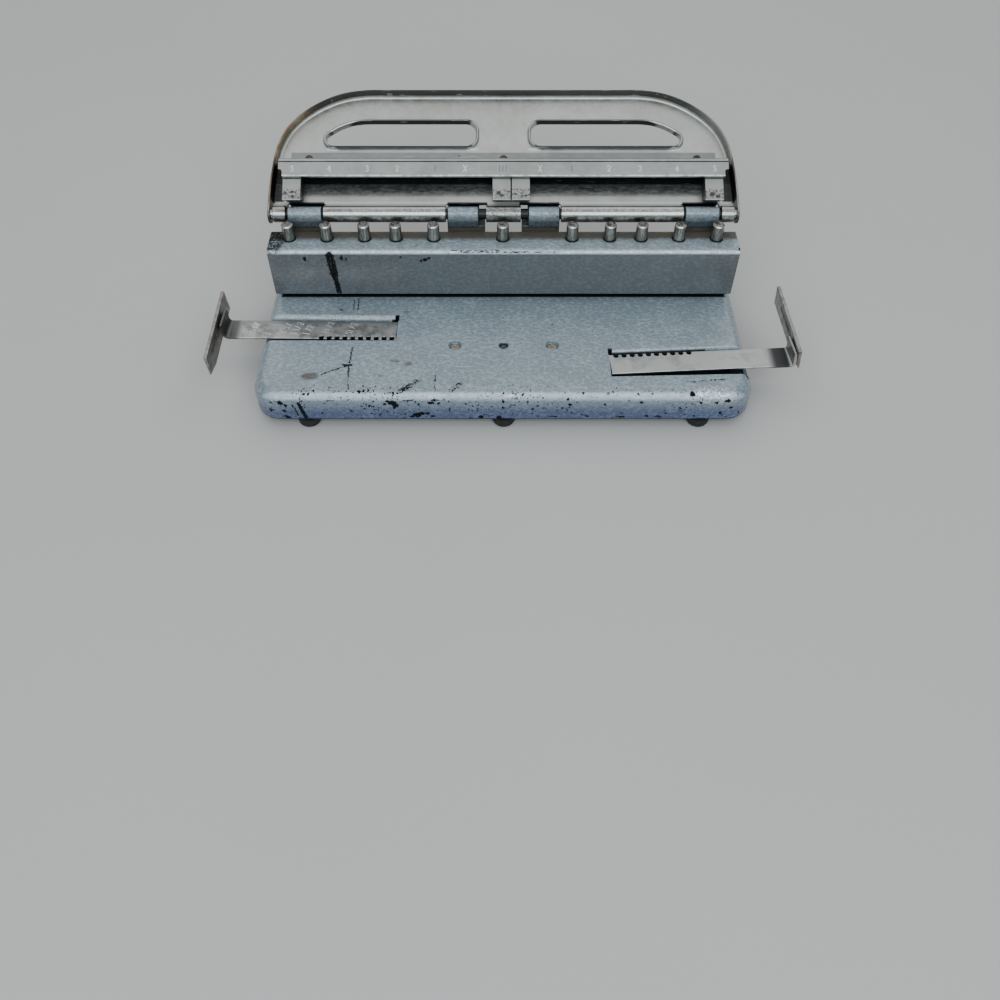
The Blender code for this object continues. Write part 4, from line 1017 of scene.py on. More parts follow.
        # turned tops: dark flat crown, streaked sides
        st = m.noise(1.0, 3.0, 0.65, vec=m.vec("MULTIPLY", m.P,
                                              (1.6, 1.6, 0.12)))
        dark.append(m.remap(st, 0.40, 0.62, 0.05, 0.62))
        crown = m.remap(z, PIN_TOP_Z - 0.12, PIN_TOP_Z - 0.04)
        dark.append(m.mul(crown, m.remap(m.noise(0.8, 3.0, 0.75), 0.40, 0.58,
                                         0.25, 0.95)))
        ring = m.mul(m.remap(z, PIN_TOP_Z - 0.9, PIN_TOP_Z - 0.75),
                     m.remap(z, PIN_TOP_Z - 0.06, PIN_TOP_Z - 0.16))
        bright.append(m.mul(ring, 0.8))
        # painted shade where the pin goes into the hood
        dark.append(m.mul(0.8, m.remap(z, 52.3, 51.0)))
        tarnish.append(m.mul(0.5, m.remap(m.noise(0.4, 3.0, 0.7), 0.45, 0.7)))
    elif kind == "rod":
        # painted shade on the rod inside the hinge, seen in the gaps between lugs
        # and barrels
        inner = m.remap(m.math("ABSOLUTE", x), 114.0, 112.0)
        dark.append(m.mul(inner, 0.97))
        # painted highlight on the rod's domed ends
        bright.append(m.remap(m.math("ABSOLUTE", x), 118.2, 118.8))
    elif kind == "dark":
        dark.append(m.remap(mid, 0.35, 0.65, 0.35, 0.75))
    tarn = m.top(*tarnish) if tarnish else None
    if tarn is not None:
        col = m.mix(tarn, col, (0.34, 0.235, 0.135))
    if dark:
        dk = m.math("MINIMUM", m.top(*dark), 1.0)
        col = m.mix(dk, col, (0.030, 0.030, 0.031))
        rg = m.mixf(m.mul(dk, 0.5), rg, 0.55)
    if bright:
        br = m.top(*bright)
        col = m.mix(br, col, (0.88, 0.87, 0.84))
    if scratch is not None:
        col = m.mix(m.mul(scratch, 0.25), col, (0.85, 0.84, 0.80))
    m.set("Base Color", col)
    m.set("Metallic", 1.0)
    m.set("Roughness", rg)
    m.set("Normal", m.bump(height, 0.05, 0.35))
    return m.m


def rubber_mat():
    m = Mat("black_rubber")
    nz = m.noise(0.9, 4.0, 0.7)
    m.set("Base Color", m.mix(m.remap(nz, 0.35, 0.7), (0.008, 0.008, 0.009),
                              (0.030, 0.029, 0.028)))
    m.set("Roughness", m.remap(nz, 0.3, 0.7, 0.62, 0.85))
    m.set("Normal", m.bump(nz, 0.08, 0.5))
    return m.m


def mark_mat():
    m = Mat("stamped_marks")
    nz = m.noise(1.6, 3.0, 0.7)
    m.set("Base Color", m.mix(m.remap(nz, 0.32, 0.52), (0.62, 0.62, 0.59),
                              (1.0, 1.0, 0.97)))
    m.set("Metallic", 1.0)
    m.set("Roughness", m.remap(nz, 0.3, 0.7, 0.40, 0.60))
    return m.m


def dark_mark_mat():
    m = Mat("dark_marks")
    nz = m.noise(1.6, 3.0, 0.7)
    m.set("Base Color", m.mix(m.remap(nz, 0.35, 0.65), (0.035, 0.034, 0.032),
                              (0.16, 0.155, 0.145)))
    m.set("Metallic", 0.8)
    m.set("Roughness", 0.5)
    return m.m


def floor_mat():
    m = Mat("pale_floor")
    nz = m.noise(0.004, 3.0, 0.5)
    m.set("Base Color", m.mix(nz, (0.60, 0.585, 0.56), (0.64, 0.625, 0.60)))
    m.set("Roughness", 0.75)
    return m.m


M = {}


def make_materials():
    M["base"] = enamel("hammered_enamel_base", "base")
    M["hood"] = enamel("hammered_enamel_hood", "hood")
    M["handle"] = nickel("aged_nickel_handle", (0.50, 0.505, 0.475),
                         (0.66, 0.675, 0.655), 0.36, "handle")
    M["bar"] = nickel("aged_nickel_bar", (0.38, 0.40, 0.39),
                      (0.52, 0.54, 0.53), 0.36, "bar")
    M["presser"] = nickel("worn_nickel_presser", (0.40, 0.41, 0.385),
                          (0.52, 0.53, 0.505), 0.38, "presser")
    M["strip_left"] = nickel("worn_nickel_strip", (0.46, 0.46, 0.43),
                             (0.62, 0.62, 0.59), 0.34, "strip_left")
    M["strip_right"] = nickel("satin_nickel_strip", (0.54, 0.54, 0.51),
                              (0.62, 0.62, 0.60), 0.34, "strip_right")
    M["stop"] = nickel("worn_nickel_stop", (0.46, 0.45, 0.42),
                       (0.60, 0.59, 0.56), 0.32, "stop")
    M["pin"] = nickel("turned_steel_pin", (0.42, 0.40, 0.36),
                      (0.60, 0.585, 0.55), 0.26, "pin")
    M["rod"] = nickel("steel_rod", (0.52, 0.51, 0.48), (0.66, 0.65, 0.62),
                      0.22, "rod")
    M["rivet"] = nickel("darkened_rivet", (0.035, 0.036, 0.036),
                        (0.13, 0.13, 0.125), 0.42)
    M["steel"] = nickel("plain_steel", (0.36, 0.355, 0.34),
                        (0.50, 0.495, 0.475), 0.34)
    M["spring"] = nickel("spring_wire", (0.26, 0.26, 0.26),
                         (0.38, 0.375, 0.365), 0.3)
    M["dark"] = nickel("blackened_steel", (0.10, 0.10, 0.10),
                       (0.18, 0.175, 0.17), 0.45, "dark")
    M["stud"] = nickel("worn_stud", (0.20, 0.16, 0.115), (0.42, 0.385, 0.32),
                       0.4)
    M["rubber"] = rubber_mat()
    M["mark"] = mark_mat()
    M["darkmark"] = dark_mark_mat()


# --------------------------------------------------------------------- base
def make_base():
    rings = []
    lower = [(0.55, 5.0), (0.22, 5.12), (0.05, 5.4), (0.0, 5.8)]
    arc = [(BASE_EDGE_R * (1 - cos(radians(a))),
            22.0 - BASE_EDGE_R + BASE_EDGE_R * sin(radians(a)))
           for a in [90.0 * k / 14 for k in range(15)]]
    for inset, z in lower + arc:
        rear = BASE_Y[1] + (1 - BASE_REAR_EDGE) * inset
        rings.append([world(x + BASE_DX, y, z) for x, y in rounded_rect(
            BASE_W / 2, BASE_Y[0], rear, BASE_R_FRONT, BASE_R_REAR, inset,
            14)])
    base = loft("base_casting", rings)

    def pocket(name, y0, y1, z1, rf, rr):
        return loft(name, [[world(x + BASE_DX, y, z) for x, y in rounded_rect(
            BASE_W / 2 - BASE_WALL, y0, y1, rf, rr, 0.0, 6)]
            for z in (4.0, z1)])

    front = pocket("cut_front", BASE_Y[0] + BASE_WALL, -12.5, 18.0, 9.0, 1.0)
    keep = [box("keep_trough_left", (-130, -48.5), (-47.0, -20.5), (11.5, 30)),
            box("keep_trough_right", (47.5, 130), (-72.5, -43.5), (11.5, 30))]
    for i, x in enumerate(FOOT_X):
        keep.append(lathe("keep_foot_%d" % i, [(7.0, 3.0), (7.0, 30.0)], 24,
                          (x, FOOT_Y[0], 0)))
    for i, x in enumerate((-24.2, 24.2)):
        keep.append(lathe("keep_stud_%d" % i, [(4.5, 6.9), (4.5, 30.0)], 24,
                          (x, -46.7, 0)))
    boolean(front, keep)
    rear = pocket("cut_rear", -12.8, 9.3, 13.0, 1.0, 1.0)
    keep = [lathe("keep_cs_%d" % i, [(4.5, 6.9), (4.5, 30.0)], 24,
                  (x, 5.0, 0)) for i, x in enumerate((-62.0, 62.0))]
    boolean(rear, keep)
    chute = box("cut_chute", (-114.5, 114.5), (PIN_Y - 5.2, PIN_Y + 5.2),
                (12.5, 18.2))
    die = box("cut_die", (-116.8, 116.8), (PIN_Y - 7.6, PIN_Y + 7.6),
              (17.7, 23.0))

    def slot_cut(name, xa, fa, ra, la, xb, fb, rb, lb):
        def sec(x, f, r, l, grow=0.0):
            pts = [(f, 14.5), (r, 14.5), (r, 19.55)]
            for k in range(1, 9):
                a = 0.5 * pi * k / 8
                pts.append((r + (l - r) * (1 - cos(a)),
                            19.55 + 2.48 * sin(a)))
            pts += [(l + 0.02, 24.0), (f - 0.42, 24.0), (f - 0.42, 22.02),
                    (f - 0.17, 21.88), (f - 0.04, 21.6), (f, 21.25)]
            return [world(x, a, b) for a, b in pts]
        return loft(name, [sec(xa, fa, ra, la), sec(xb, fb, rb, lb)])
    slot_l = slot_cut("cut_slot_left", -53.7, -43.0, -26.6, -23.9,
                      -125.0, -43.0, -25.5, -22.9)
    slot_r = slot_cut("cut_slot_right", 52.0, -69.1, -51.9, -49.9,
                      125.0, -67.0, -47.3, -46.4)
    def slotted(name, x, ya, yb):
        rings = []
        for r, z in ((1.0, 15.0), (1.0, 21.5), (1.12, 21.85), (1.4, 22.03),
                     (1.4, 25.0)):
            ring = []
            for k in range(28):
                a = 2 * pi * (k + 0.5) / 28
                cy = yb if sin(a) > 0 else ya
                ring.append(world(x + r * cos(a), cy + r * sin(a), z))
            rings.append(ring)
        return loft(name, rings)
    cuts = [front, rear, chute, die, slot_l, slot_r,
            slotted("cut_hole_left", -54.4, -27.5, -23.9),
            slotted("cut_hole_right", 52.7, -53.0, -49.6)]
    for i, x in enumerate((-24.2, 24.2)):
        cuts.append(lathe("cut_stud_%d" % i,
                          [(1.9, 4.0), (1.9, 19.4), (3.1, 20.7), (3.12, 21.5),
                           (3.3, 21.85), (3.65, 22.02), (3.65, 23.0)],
                          32, (x, -46.7, 0)))
    cuts.append(lathe("cut_centre", [(1.6, 17.0), (1.6, 20.6), (2.1, 21.2),
                                     (2.5, 21.7), (3.0, 22.02), (3.0, 23.0)],
                      32, (0.0, -46.7, 0)))
    for i, x in enumerate((-62.0, 62.0)):
        cuts.append(lathe("cut_cs_%d" % i, [(1.9, 4.0), (1.9, 11.6)], 20,
                          (x, 5.0, 0)))
    for i, x in enumerate((-104.0, -36.0, 36.0, 104.0)):
        cuts.append(lathe("cut_hs_%d" % i,
                          [(4.1, 4.0), (4.1, 11.0), (2.2, 11.0), (2.2, 23.0)],
                          24, (x, 13.6, 0)))
    for i, x in enumerate(FOOT_X):
        cuts.append(lathe("cut_ff_%d" % i, [(2.4, 4.0), (2.4, 9.6)], 20,
                          (x, FOOT_Y[0], 0)))
    for i, x in enumerate((-70.0, 0.0, 70.0)):
        cuts.append(lathe("cut_rf_%d" % i, [(2.4, 4.0), (2.4, 9.6)], 20,
                          (x, 14.2, 0)))
    boolean(base, cuts)
    pads = []
    for n, x0, x1, y0, y1 in (("pad_a", -63.0, -58.5, -38.5, -28.5),
                              ("pad_b", -117.0, -112.5, -38.0, -28.0),
                              ("pad_c", 57.5, 62.0, -63.5, -54.5),
                              ("pad_d", 111.5, 116.0, -60.0, -51.5)):
        pads.append(box(n, (x0, x1), (y0, y1), (13.5, 18.9)))
    boolean(base, pads, "UNION")
    give(base, M["base"], 40.0)
    piece(base, "frame", "enamel", "base")


# --------------------------------------------------------------------- hood
def lug_profile():
    pts = []
    for k in range(21):
        a = radians(-10 + 190 * k / 20)
        aa = pi - a
        pts.append((AXIS_Y + LUG_R * cos(aa), AXIS_Z + LUG_R * sin(aa)))
    o = Vector((AXIS_Y, AXIS_Z))
    sd = Vector((S_DIR.y, S_DIR.z))
    nd = Vector((N_DIR.y, N_DIR.z))
    heel = o + sd * 11.5 + nd * (SHEET_BACK - 0.4)
    heel0 = o + sd * 7.6 + nd * (SHEET_BACK - 0.4)
    pts += [(AXIS_Y + LUG_R, AXIS_Z - 2.0), (AXIS_Y + LUG_R + 0.35,
                                             AXIS_Z - 2.75),
            (heel0.x, heel0.y),
            (heel.x - 0.5, heel.y - 0.25), (heel.x + 0.15, heel.y - 0.35),
            (heel.x + 0.6, heel.y - 1.2),
            (16.9, 46.0), (16.4, 33.0), (8.0, 33.0), (8.0, 44.0),
            (AXIS_Y - LUG_R, 44.0)]
    return pts


def make_hood():
    r = HOOD_EDGE_R
    front_top = [(HOOD_Y[0] + r - r * cos(radians(a)),
                  HOOD_Z[1] - r + r * sin(radians(a)))
                 for a in [90.0 * k / 10 for k in range(11)]]
    profile = ([(PAPER_STOP_Y, HOOD_Z[0]), (HOOD_Y[0] + 0.6, HOOD_Z[0]),
                (HOOD_Y[0] + 0.25, HOOD_Z[0] + 0.08),
                (HOOD_Y[0] + 0.06, HOOD_Z[0] + 0.3),
                (HOOD_Y[0], HOOD_Z[0] + 0.6)] + front_top
               + [(HOOD_Y[1] - 0.7, HOOD_Z[1]),
                  (HOOD_Y[1] - 0.3, HOOD_Z[1] - 0.12),
                  (HOOD_Y[1] - 0.06, HOOD_Z[1] - 0.4),
                  (HOOD_Y[1] + 0.02, HOOD_Z[1] - 0.8),
                  (HOOD_Y[1] + 0.3, 46.0),
                  (HOOD_Y[1] + 1.2, 40.0), (9.6, 38.3), (11.2, 37.1),
                  (13.2, 36.3), (16.2, 35.2), (17.1, 34.4),
                  (HOOD_FOOT_Y, 33.2), (HOOD_FOOT_Y, 22.3),
                  (PAPER_STOP_Y, 22.3)])
    hood = prism_x("hood_casting", profile, -HOOD_X, HOOD_X, bevel=0.45,
                   steps=3)
    adds = []
    for sgn in (-1, 1):
        for nm, (a, b) in (("outer", OUTER_LUG), ("inner", INNER_LUG)):
            x0, x1 = sorted((sgn * a, sgn * b))
            adds.append(prism_x("add_%s_%d" % (nm, sgn), lug_profile(),
                                x0, x1, bevel=0.45, steps=3))
        x0, x1 = sorted((sgn * 9.3, sgn * 14.0))
        adds.append(prism_x("add_neck_%d" % sgn,
                            [(AXIS_Y - 3.3, 44.0), (AXIS_Y - 3.3, 52.9),
                             (AXIS_Y - 2.8, 53.4), (AXIS_Y + 2.8, 53.4),
                             (AXIS_Y + 3.3, 52.9), (AXIS_Y + 3.3, 44.0)],
                            x0, x1, bevel=0.3))
    boolean(hood, adds, "UNION")
    cuts = [box("cut_guide", (-114.6, 114.6), (PIN_Y - 6.6, PIN_Y + 6.6),
                (23.0, 28.1))]
    for i, x in enumerate(PIN_X):
        cuts.append(lathe("cut_bore_%d" % i,
                          [(4.95, 26.0), (4.95, 44.2), (PIN_BORE_R, 44.2),
                           (PIN_BORE_R, 50.5), (PIN_BORE_R + 0.12, 50.75),
                           (PIN_BORE_R + 0.4, 50.93), (PIN_BORE_R + 0.4, 52.0)],
                          32, (x, PIN_Y, 0)))
    for i, x in enumerate((-104.0, -36.0, 36.0, 104.0)):
        cuts.append(lathe("cut_hs_%d" % i, [(2.2, 21.0), (2.2, 30.5)], 20,
                          (x, 13.6, 0)))
    cuts.append(lathe("cut_rod", [(BORE_R, -112.0), (BORE_R, 112.0)], 32,
                      (0, AXIS_Y, AXIS_Z), axis="X"))
    boolean(hood, cuts)
    give(hood, M["hood"], 40.0)
    piece(hood, "frame", "enamel", "hood")


# ------------------------------------------------------------- small pieces
def make_pins():
    for i, x in enumerate(PIN_X):
        top = PIN_TOP_Z
        prof = [(0, PIN_TIP_Z + 0.8), (1.6, PIN_TIP_Z + 0.5),
                (PIN_R, PIN_TIP_Z),
                (PIN_R, PIN_COLLAR_Z[0]), (PIN_COLLAR_R - 0.2, PIN_COLLAR_Z[0]),
                (PIN_COLLAR_R, PIN_COLLAR_Z[0] + 0.2),
                (PIN_COLLAR_R, PIN_COLLAR_Z[1] - 0.2),
                (PIN_COLLAR_R - 0.2, PIN_COLLAR_Z[1]), (PIN_R, PIN_COLLAR_Z[1]),
                (PIN_R, top - 0.85), (PIN_R - 0.04, top - 0.68),
                (PIN_R - 0.14, top - 0.5), (PIN_R - 0.52, top - 0.1),
                (PIN_R - 0.64, top - 0.03), (PIN_R - 0.8, top),
                (1.2, top - 0.02), (0, top - 0.05)]
        ob = lathe("pin_%02d_turned" % (i + 1), prof, 40, (x, PIN_Y, 0),
                   M["pin"], smooth=40)
        piece(ob, "pin_%02d" % (i + 1), "tool_steel",
              "punch_pin_%02d" % (i + 1))


def make_feet():
    prof = [(0, 0), (3.9, 0), (4.6, 0.15), (5.15, 0.6), (5.5, 1.4),
            (5.65, 2.3), (5.68, 3.2), (5.64, 4.4), (5.5, 4.7), (2.1, 4.7),
            (2.1, 8.9),
            (0, 9.1)]
    for nm, x in zip(("left", "centre", "right"), FOOT_X):
        ob = lathe("foot_front_%s_rubber" % nm, prof, 40,
                   (x, FOOT_Y[0], 0), M["rubber"], smooth=50)
        piece(ob, "frame", "rubber", "foot_front_%s" % nm)
    for nm, x in zip(("left", "centre", "right"), (-70.0, 0.0, 70.0)):
        ob = lathe("foot_rear_%s_rubber" % nm, prof, 40, (x, 14.2, 0),
                   M["rubber"], smooth=50)
        piece(ob, "frame", "rubber", "foot_rear_%s" % nm)


def make_studs():
    for nm, x in (("left", -24.2), ("right", 24.2)):
        ob = lathe("cover_stud_%s_turned" % nm,
                   [(0, 5.0), (1.2, 5.0), (1.6, 5.4), (1.6, 19.7),
                    (2.30, 20.45), (2.42, 20.65), (2.4, 20.85),
                    (2.1, 21.05), (1.2, 21.2), (0.5, 21.0), (0, 20.95)], 40,
                   (x, -46.7, 0), M["stud"], smooth=40)
        piece(ob, "frame", "nickel_handle", "cover_stud_%s" % nm)


def make_rod():
    prof = [(0, -119.6), (0.9, -119.58), (1.6, -119.4), (2.15, -119.05),
            (2.45, -118.6), (ROD_R, -118.0), (ROD_R, 118.0), (2.45, 118.6),
            (2.15, 119.05), (1.6, 119.4), (0.9, 119.58), (0, 119.6)]
    ob = lathe("hinge_rod_turned", prof, 40, (0, AXIS_Y, AXIS_Z), M["rod"],
               axis="X", smooth=40)
    piece(ob, "frame", "tool_steel", "hinge_rod")


# ------------------------------------------------------------------- handle
OUTLINE = ((118.7, -6.0), (118.7, 0.0), (118.6, 7.0), (118.0, 17.0),
           (117.3, 25.0), (116.2, 33.0), (114.2, 39.5), (110.9, 46.0),
           (106.2, 51.5), (99.9, 56.7), (91.8, 61.5), (82.0, 65.2),
           (71.0, 66.9), (60.0, 67.0))


def rim_depth(s):
    if s < 9.0:
        return EAR_N
    if s > 36.0:
        return RIM_N
    t = (s - 9.0) / 27.0
    return EAR_N + (RIM_N - EAR_N) * t * t * (3 - 2 * t)


def slot_outline(sgn, steps=10):
    pts = []
    r = 5.2
    lo, hi, inner, tip = 38.0, 51.4, 14.2, 91.4
    for k in range(steps + 1):
        a = radians(180 + 90 * k / steps)
        pts.append(Vector((inner + r + r * cos(a), lo + r + r * sin(a))))
    r2 = 3.6
    for k in range(12):
        a = radians(-90 + 150 * k / 11)
        pts.append(Vector((tip - r2 + r2 * cos(a) - 0.2, lo + r2 + 0.1
                           + r2 * sin(a))))
    arch = spline(((89.0, 44.85), (86.5, 46.7), (82.0, 49.0), (77.0, 50.6),
                   (71.5, 51.3), (66.0, 51.4)), 4)
    pts += arch[2:]
    pts.append(Vector((inner + r + 10.0, hi)))
    for k in range(0, steps + 1):
        a = radians(90 + 90 * k / steps)
        pts.append(Vector((inner + r + r * cos(a), hi - r + r * sin(a))))
    if sgn < 0:
        pts = [Vector((-p.x, p.y)) for p in reversed(pts)]
    return pts


def make_handle():
    half = spline(OUTLINE, 7)
    outer = half + [Vector((-p.x, p.y)) for p in reversed(half)]
    rims = [rim_depth(p.y) for p in outer]

    def ring(d, n):
        pts = offset_open(outer, -d) if d else outer
        return [on_handle(p.x, p.y, n) for p in pts]

    def rim_ring(d, drop):
        pts = offset_open(outer, -d) if d else outer
        return [on_handle(p.x, p.y, e - drop) for p, e in zip(pts, rims)]
    R = 2.4
    rings = []
    for k in range(7):
        a = 0.5 * pi * k / 6
        rings.append(ring(R * (1 - sin(a)), SHEET_BACK + R * (1 - cos(a))))
    rings.append(ring(0.0, -0.9))
    t = SHEET_T
    for d, drop in ((0.0, 0.45), (0.06, 0.22), (0.2, 0.06), (0.4, 0.0),
                    (t - 0.35, 0.0), (t - 0.16, 0.06), (t - 0.04, 0.22),
                    (t, 0.45)):
        rings.append(rim_ring(d, drop))
    r = SHEET_BEND
    for k in range(7):
        a = 0.5 * pi * k / 6
        rings.append(ring(t + r * (1 - cos(a)),
                          SHEET_FRONT + r * (1 - sin(a))))
    handle = loft("handle_stamping", rings)

    def hp(x, a, b):
        return on_handle(x, a, b)
    cuts = [box("cut_low", (-117.5, 117.5), (-9.0, -0.4), (-9.0, 9.0),
                place=hp)]
    for sgn in (-1, 1):
        prof = [(-9.0, -9.0), (-0.6, -9.0), (-0.6, -4.35)]
        for k in range(25):
            a = radians(270 - 180 * k / 24)
            prof.append((-0.6 + 3.9 * cos(a), 4.35 * sin(a)))
        prof += [(-0.6, 9.0), (-9.0, 9.0)]
        x0, x1 = sorted((sgn * 115.0, sgn * 121.0))
        cuts.append(prism_x("cut_ear_%d" % sgn, prof, x0, x1, place=hp,
                            smooth=0))
    for sgn in (-1, 1):
        for a, b in ((OUTER_LUG[0] - 0.8, OUTER_LUG[1] + 0.8),
                     (8.75, INNER_LUG[1] + 0.8)):
            x0, x1 = sorted((sgn * a, sgn * b))
            cuts.append(box("cut_win_%d_%d" % (sgn, int(a)), (x0, x1),
                            (-6.0, 6.75), (-9.0, 9.0), place=hp))
    boolean(handle, cuts)

    def barrel_profile():
        pts = [(10.5, SHEET_BACK + 0.06), (5.0, SHEET_BACK + 0.03),
               (0.0, SHEET_BACK)]
        for k in range(1, 41):
            a = radians(270 - 262.0 * k / 40)
            pts.append((BARREL_R * cos(a), BARREL_R * sin(a)))
        # the roll eases into the sheet and ends in a fine seam
        pts += [(4.16, -0.1), (4.4, -0.85), (4.85, -1.4), (5.5, -1.8),
                (6.3, -2.05), (6.6, -2.12), (6.68, -2.3), (6.72, -2.62),
                (6.95, -2.66), (7.05, SHEET_FRONT - 0.02),
                (10.5, SHEET_FRONT - 0.06)]
        return pts
    adds = []
    spans = [(-8.75, 8.75)]
    for sgn in (-1, 1):
        spans.append(tuple(sorted((sgn * 29.2, sgn * 90.75))))
        spans.append(tuple(sorted((sgn * 109.9, sgn * 116.4))))
    for i, (x0, x1) in enumerate(spans):
        adds.append(prism_x("add_barrel_%d" % i, barrel_profile(), x0, x1,
                            place=hp, bevel=0.3, steps=2))
    for sgn in (-1, 1):
        hole = slot_outline(sgn)
        cut_pts = offset_loop(hole, 0.3)
        cutter = loft("cut_hand_%d" % sgn,
                      [[on_handle(p.x, p.y, n) for p in cut_pts]
                       for n in (-9.0, 3.0)])
        boolean(handle, [cutter])
        section = [(0.0, -4.02), (0.0, -1.7)]
        for k in range(1, 7):
            a = pi - pi * k / 7
            section.append((0.8 + 0.8 * cos(a), -1.7 + 0.85 * sin(a)))
        section += [(1.6, -1.7), (1.65, -2.2), (1.85, -2.55), (2.2, -2.7),
                    (2.2, -4.02)]
        loops = [offset_loop(hole, d) if d else hole for d, n in section]
        rings = []
        for k in range(len(hole)):
            rings.append([on_handle(loops[j][k].x, loops[j][k].y,
                                    section[j][1])
                          for j in range(len(section))])
        adds.append(loft("add_rim_%d" % sgn, rings, closed_loop=True))
    boolean(handle, adds, "UNION")
    bores = [lathe("cut_rodway", [(BORE_R, -122.0), (BORE_R, 122.0)], 32,
                   (0, AXIS_Y, AXIS_Z), axis="X")]
    for i, x in enumerate(RIVET_X):
        bores.append(lathe("cut_rivet_%d" % i, [(1.35, -6.0), (1.35, 0.5)],
                           24, (x, RIVET_S, 0), place=hp))
    boolean(handle, bores)
    give(handle, M["handle"], 38.0)
    # the sheet's flat faces keep their own normals, up to every bend
    bm = bmesh.new()
    bm.from_mesh(handle.data)
    for f in bm.faces:
        if abs(f.normal.dot(N_DIR)) > 0.9999:
            f.smooth = False
    for e in bm.edges:
        if len(e.link_faces) != 2:
            e.smooth = False
    bm.to_mesh(handle.data)
    bm.free()
    piece(handle, "handle", "nickel_handle", "handle")


def make_scale_bar():
    prof = [(34.1, -2.2), (34.1, -1.2), (33.9, -1.0), (28.2, -1.0),
            (27.7, -0.88), (27.35, -0.5), (27.25, 0.0), (27.05, 5.6),
            (26.9, 6.2), (26.5, 6.75), (25.9, 7.2), (25.3, 7.42),
            (24.75, 7.5), (24.62, 7.4), (24.42, 7.05), (24.25, 7.42),
            (24.1, 7.56), (17.0, 7.56), (16.78, 7.48), (16.62, 7.3), (16.55, 7.0),
            (16.55, 6.3), (16.7, 6.2), (24.0, 6.2), (24.7, 6.1),
            (25.15, 5.75), (25.35, 5.2), (25.6, -1.0), (25.3, -2.2)]

    def hp(x, a, b):
        return on_handle(x, a, b)
    bar = prism_x("scale_bar_pressing", prof, -BAR_HALF, BAR_HALF, place=hp,
                  bevel=0.12, steps=1)
    cuts = []
    for sgn in (-1, 1):
        x0, x1 = sorted((sgn * 108.7, sgn * 116.0))
        cuts.append(box("cut_flange_%d" % sgn, (x0, x1), (27.75, 36.0),
                        (-4.0, 4.0), place=hp))
        # cut-away lower corner with a rounded inner angle
        c = [(111.3, 13.0), (111.3, 19.0)]
        for k in range(1, 5):
            a = 0.5 * pi * k / 5
            c.append((111.3 + 1.3 * (1 - cos(a)), 19.0 + 1.3 * sin(a)))
        c += [(112.6, 20.3), (116.0, 20.5), (116.0, 13.0)]
        pts = [Vector((sgn * px, ps)) for px, ps in c]
        if area_of(pts) < 0:
            pts.reverse()
        cuts.append(loft("cut_notch_%d" % sgn,
                         [[on_handle(p.x, p.y, n) for p in pts]
                          for n in (2.0, 9.0)]))
    for i, x in enumerate(RIVET_X):
        cuts.append(lathe("cut_bar_rivet_%d" % i, [(1.35, -3.0), (1.35, 0.5)],
                          24, (x, RIVET_S, 0), place=hp))
    boolean(bar, cuts)
    give(bar, M["bar"], 32.0)
    piece(bar, "handle", "nickel_handle", "scale_bar")
    for nm, i in (("left", 0), ("centre", 1), ("right", 2)):
        x = RIVET_X[i]
        ob = lathe("scale_rivet_%s_domed" % nm,
                   [(0, -4.0), (1.05, -4.0), (1.05, -0.7), (2.05, -0.7),
                    (2.08, -0.5), (1.95, -0.2), (1.5, 0.06), (0.8, 0.18),
                    (0, 0.2)], 32, (x, RIVET_S, 0), M["rivet"], place=hp,
                   smooth=50)
        piece(ob, "handle", "tool_steel", "scale_rivet_%s" % nm)


def make_pressers():
    s0, s1 = BLOCK_S
    n0, n1 = BLOCK_N
    c = 0.4
    prof = [(s0 + c, n1), (s0 + 0.12, n1 - 0.12), (s0, n1 - c),
            (s0 + 0.1, n1 - 0.9), (s0 + 4.2, n0), (s1, n0), (s1, n1 - c),
            (s1 - 0.12, n1 - 0.12), (s1 - c, n1)]

    def hp(x, a, b):
        return on_handle(x, a, b)
    for nm, x in zip(BLOCK_NAMES, BLOCK_X):
        ob = prism_x("%s_block" % nm, prof, x - BLOCK_W / 2, x + BLOCK_W / 2,
                     M["presser"], place=hp, bevel=0.3, steps=3, smooth=38)
        piece(ob, nm, "nickel_block", nm)


# ------------------------------------------------------------------- gauges
LEFT_GAUGE = dict(sgn=-1, end=(-54.1, -34.1), angle=1.0, run=84.3, bend=1.9,
                  notch_side=-1, notch_from=2.0, pitch=3.96,
                  stop=(142.1, 0.021), stop_y=(-65.2, -14.6), lean=0.75)
RIGHT_GAUGE = dict(sgn=1, end=(52.4, -59.1), angle=3.7, run=88.2, bend=1.0,
                   notch_side=1, notch_from=3.6, pitch=4.05,
                   stop=(142.85, -0.021), stop_y=(-60.6, -10.4), lean=-1.1)


def gauge_frame(g):
    a = radians(g["angle"])
    ux, uy = g["sgn"] * cos(a), sin(a)
    ex, ey = g["end"]

    def place(u, w, z):
        return world(ex + ux * u - g["sgn"] * uy * w,
                     ey + uy * u + g["sgn"] * ux * w, z)
    return place


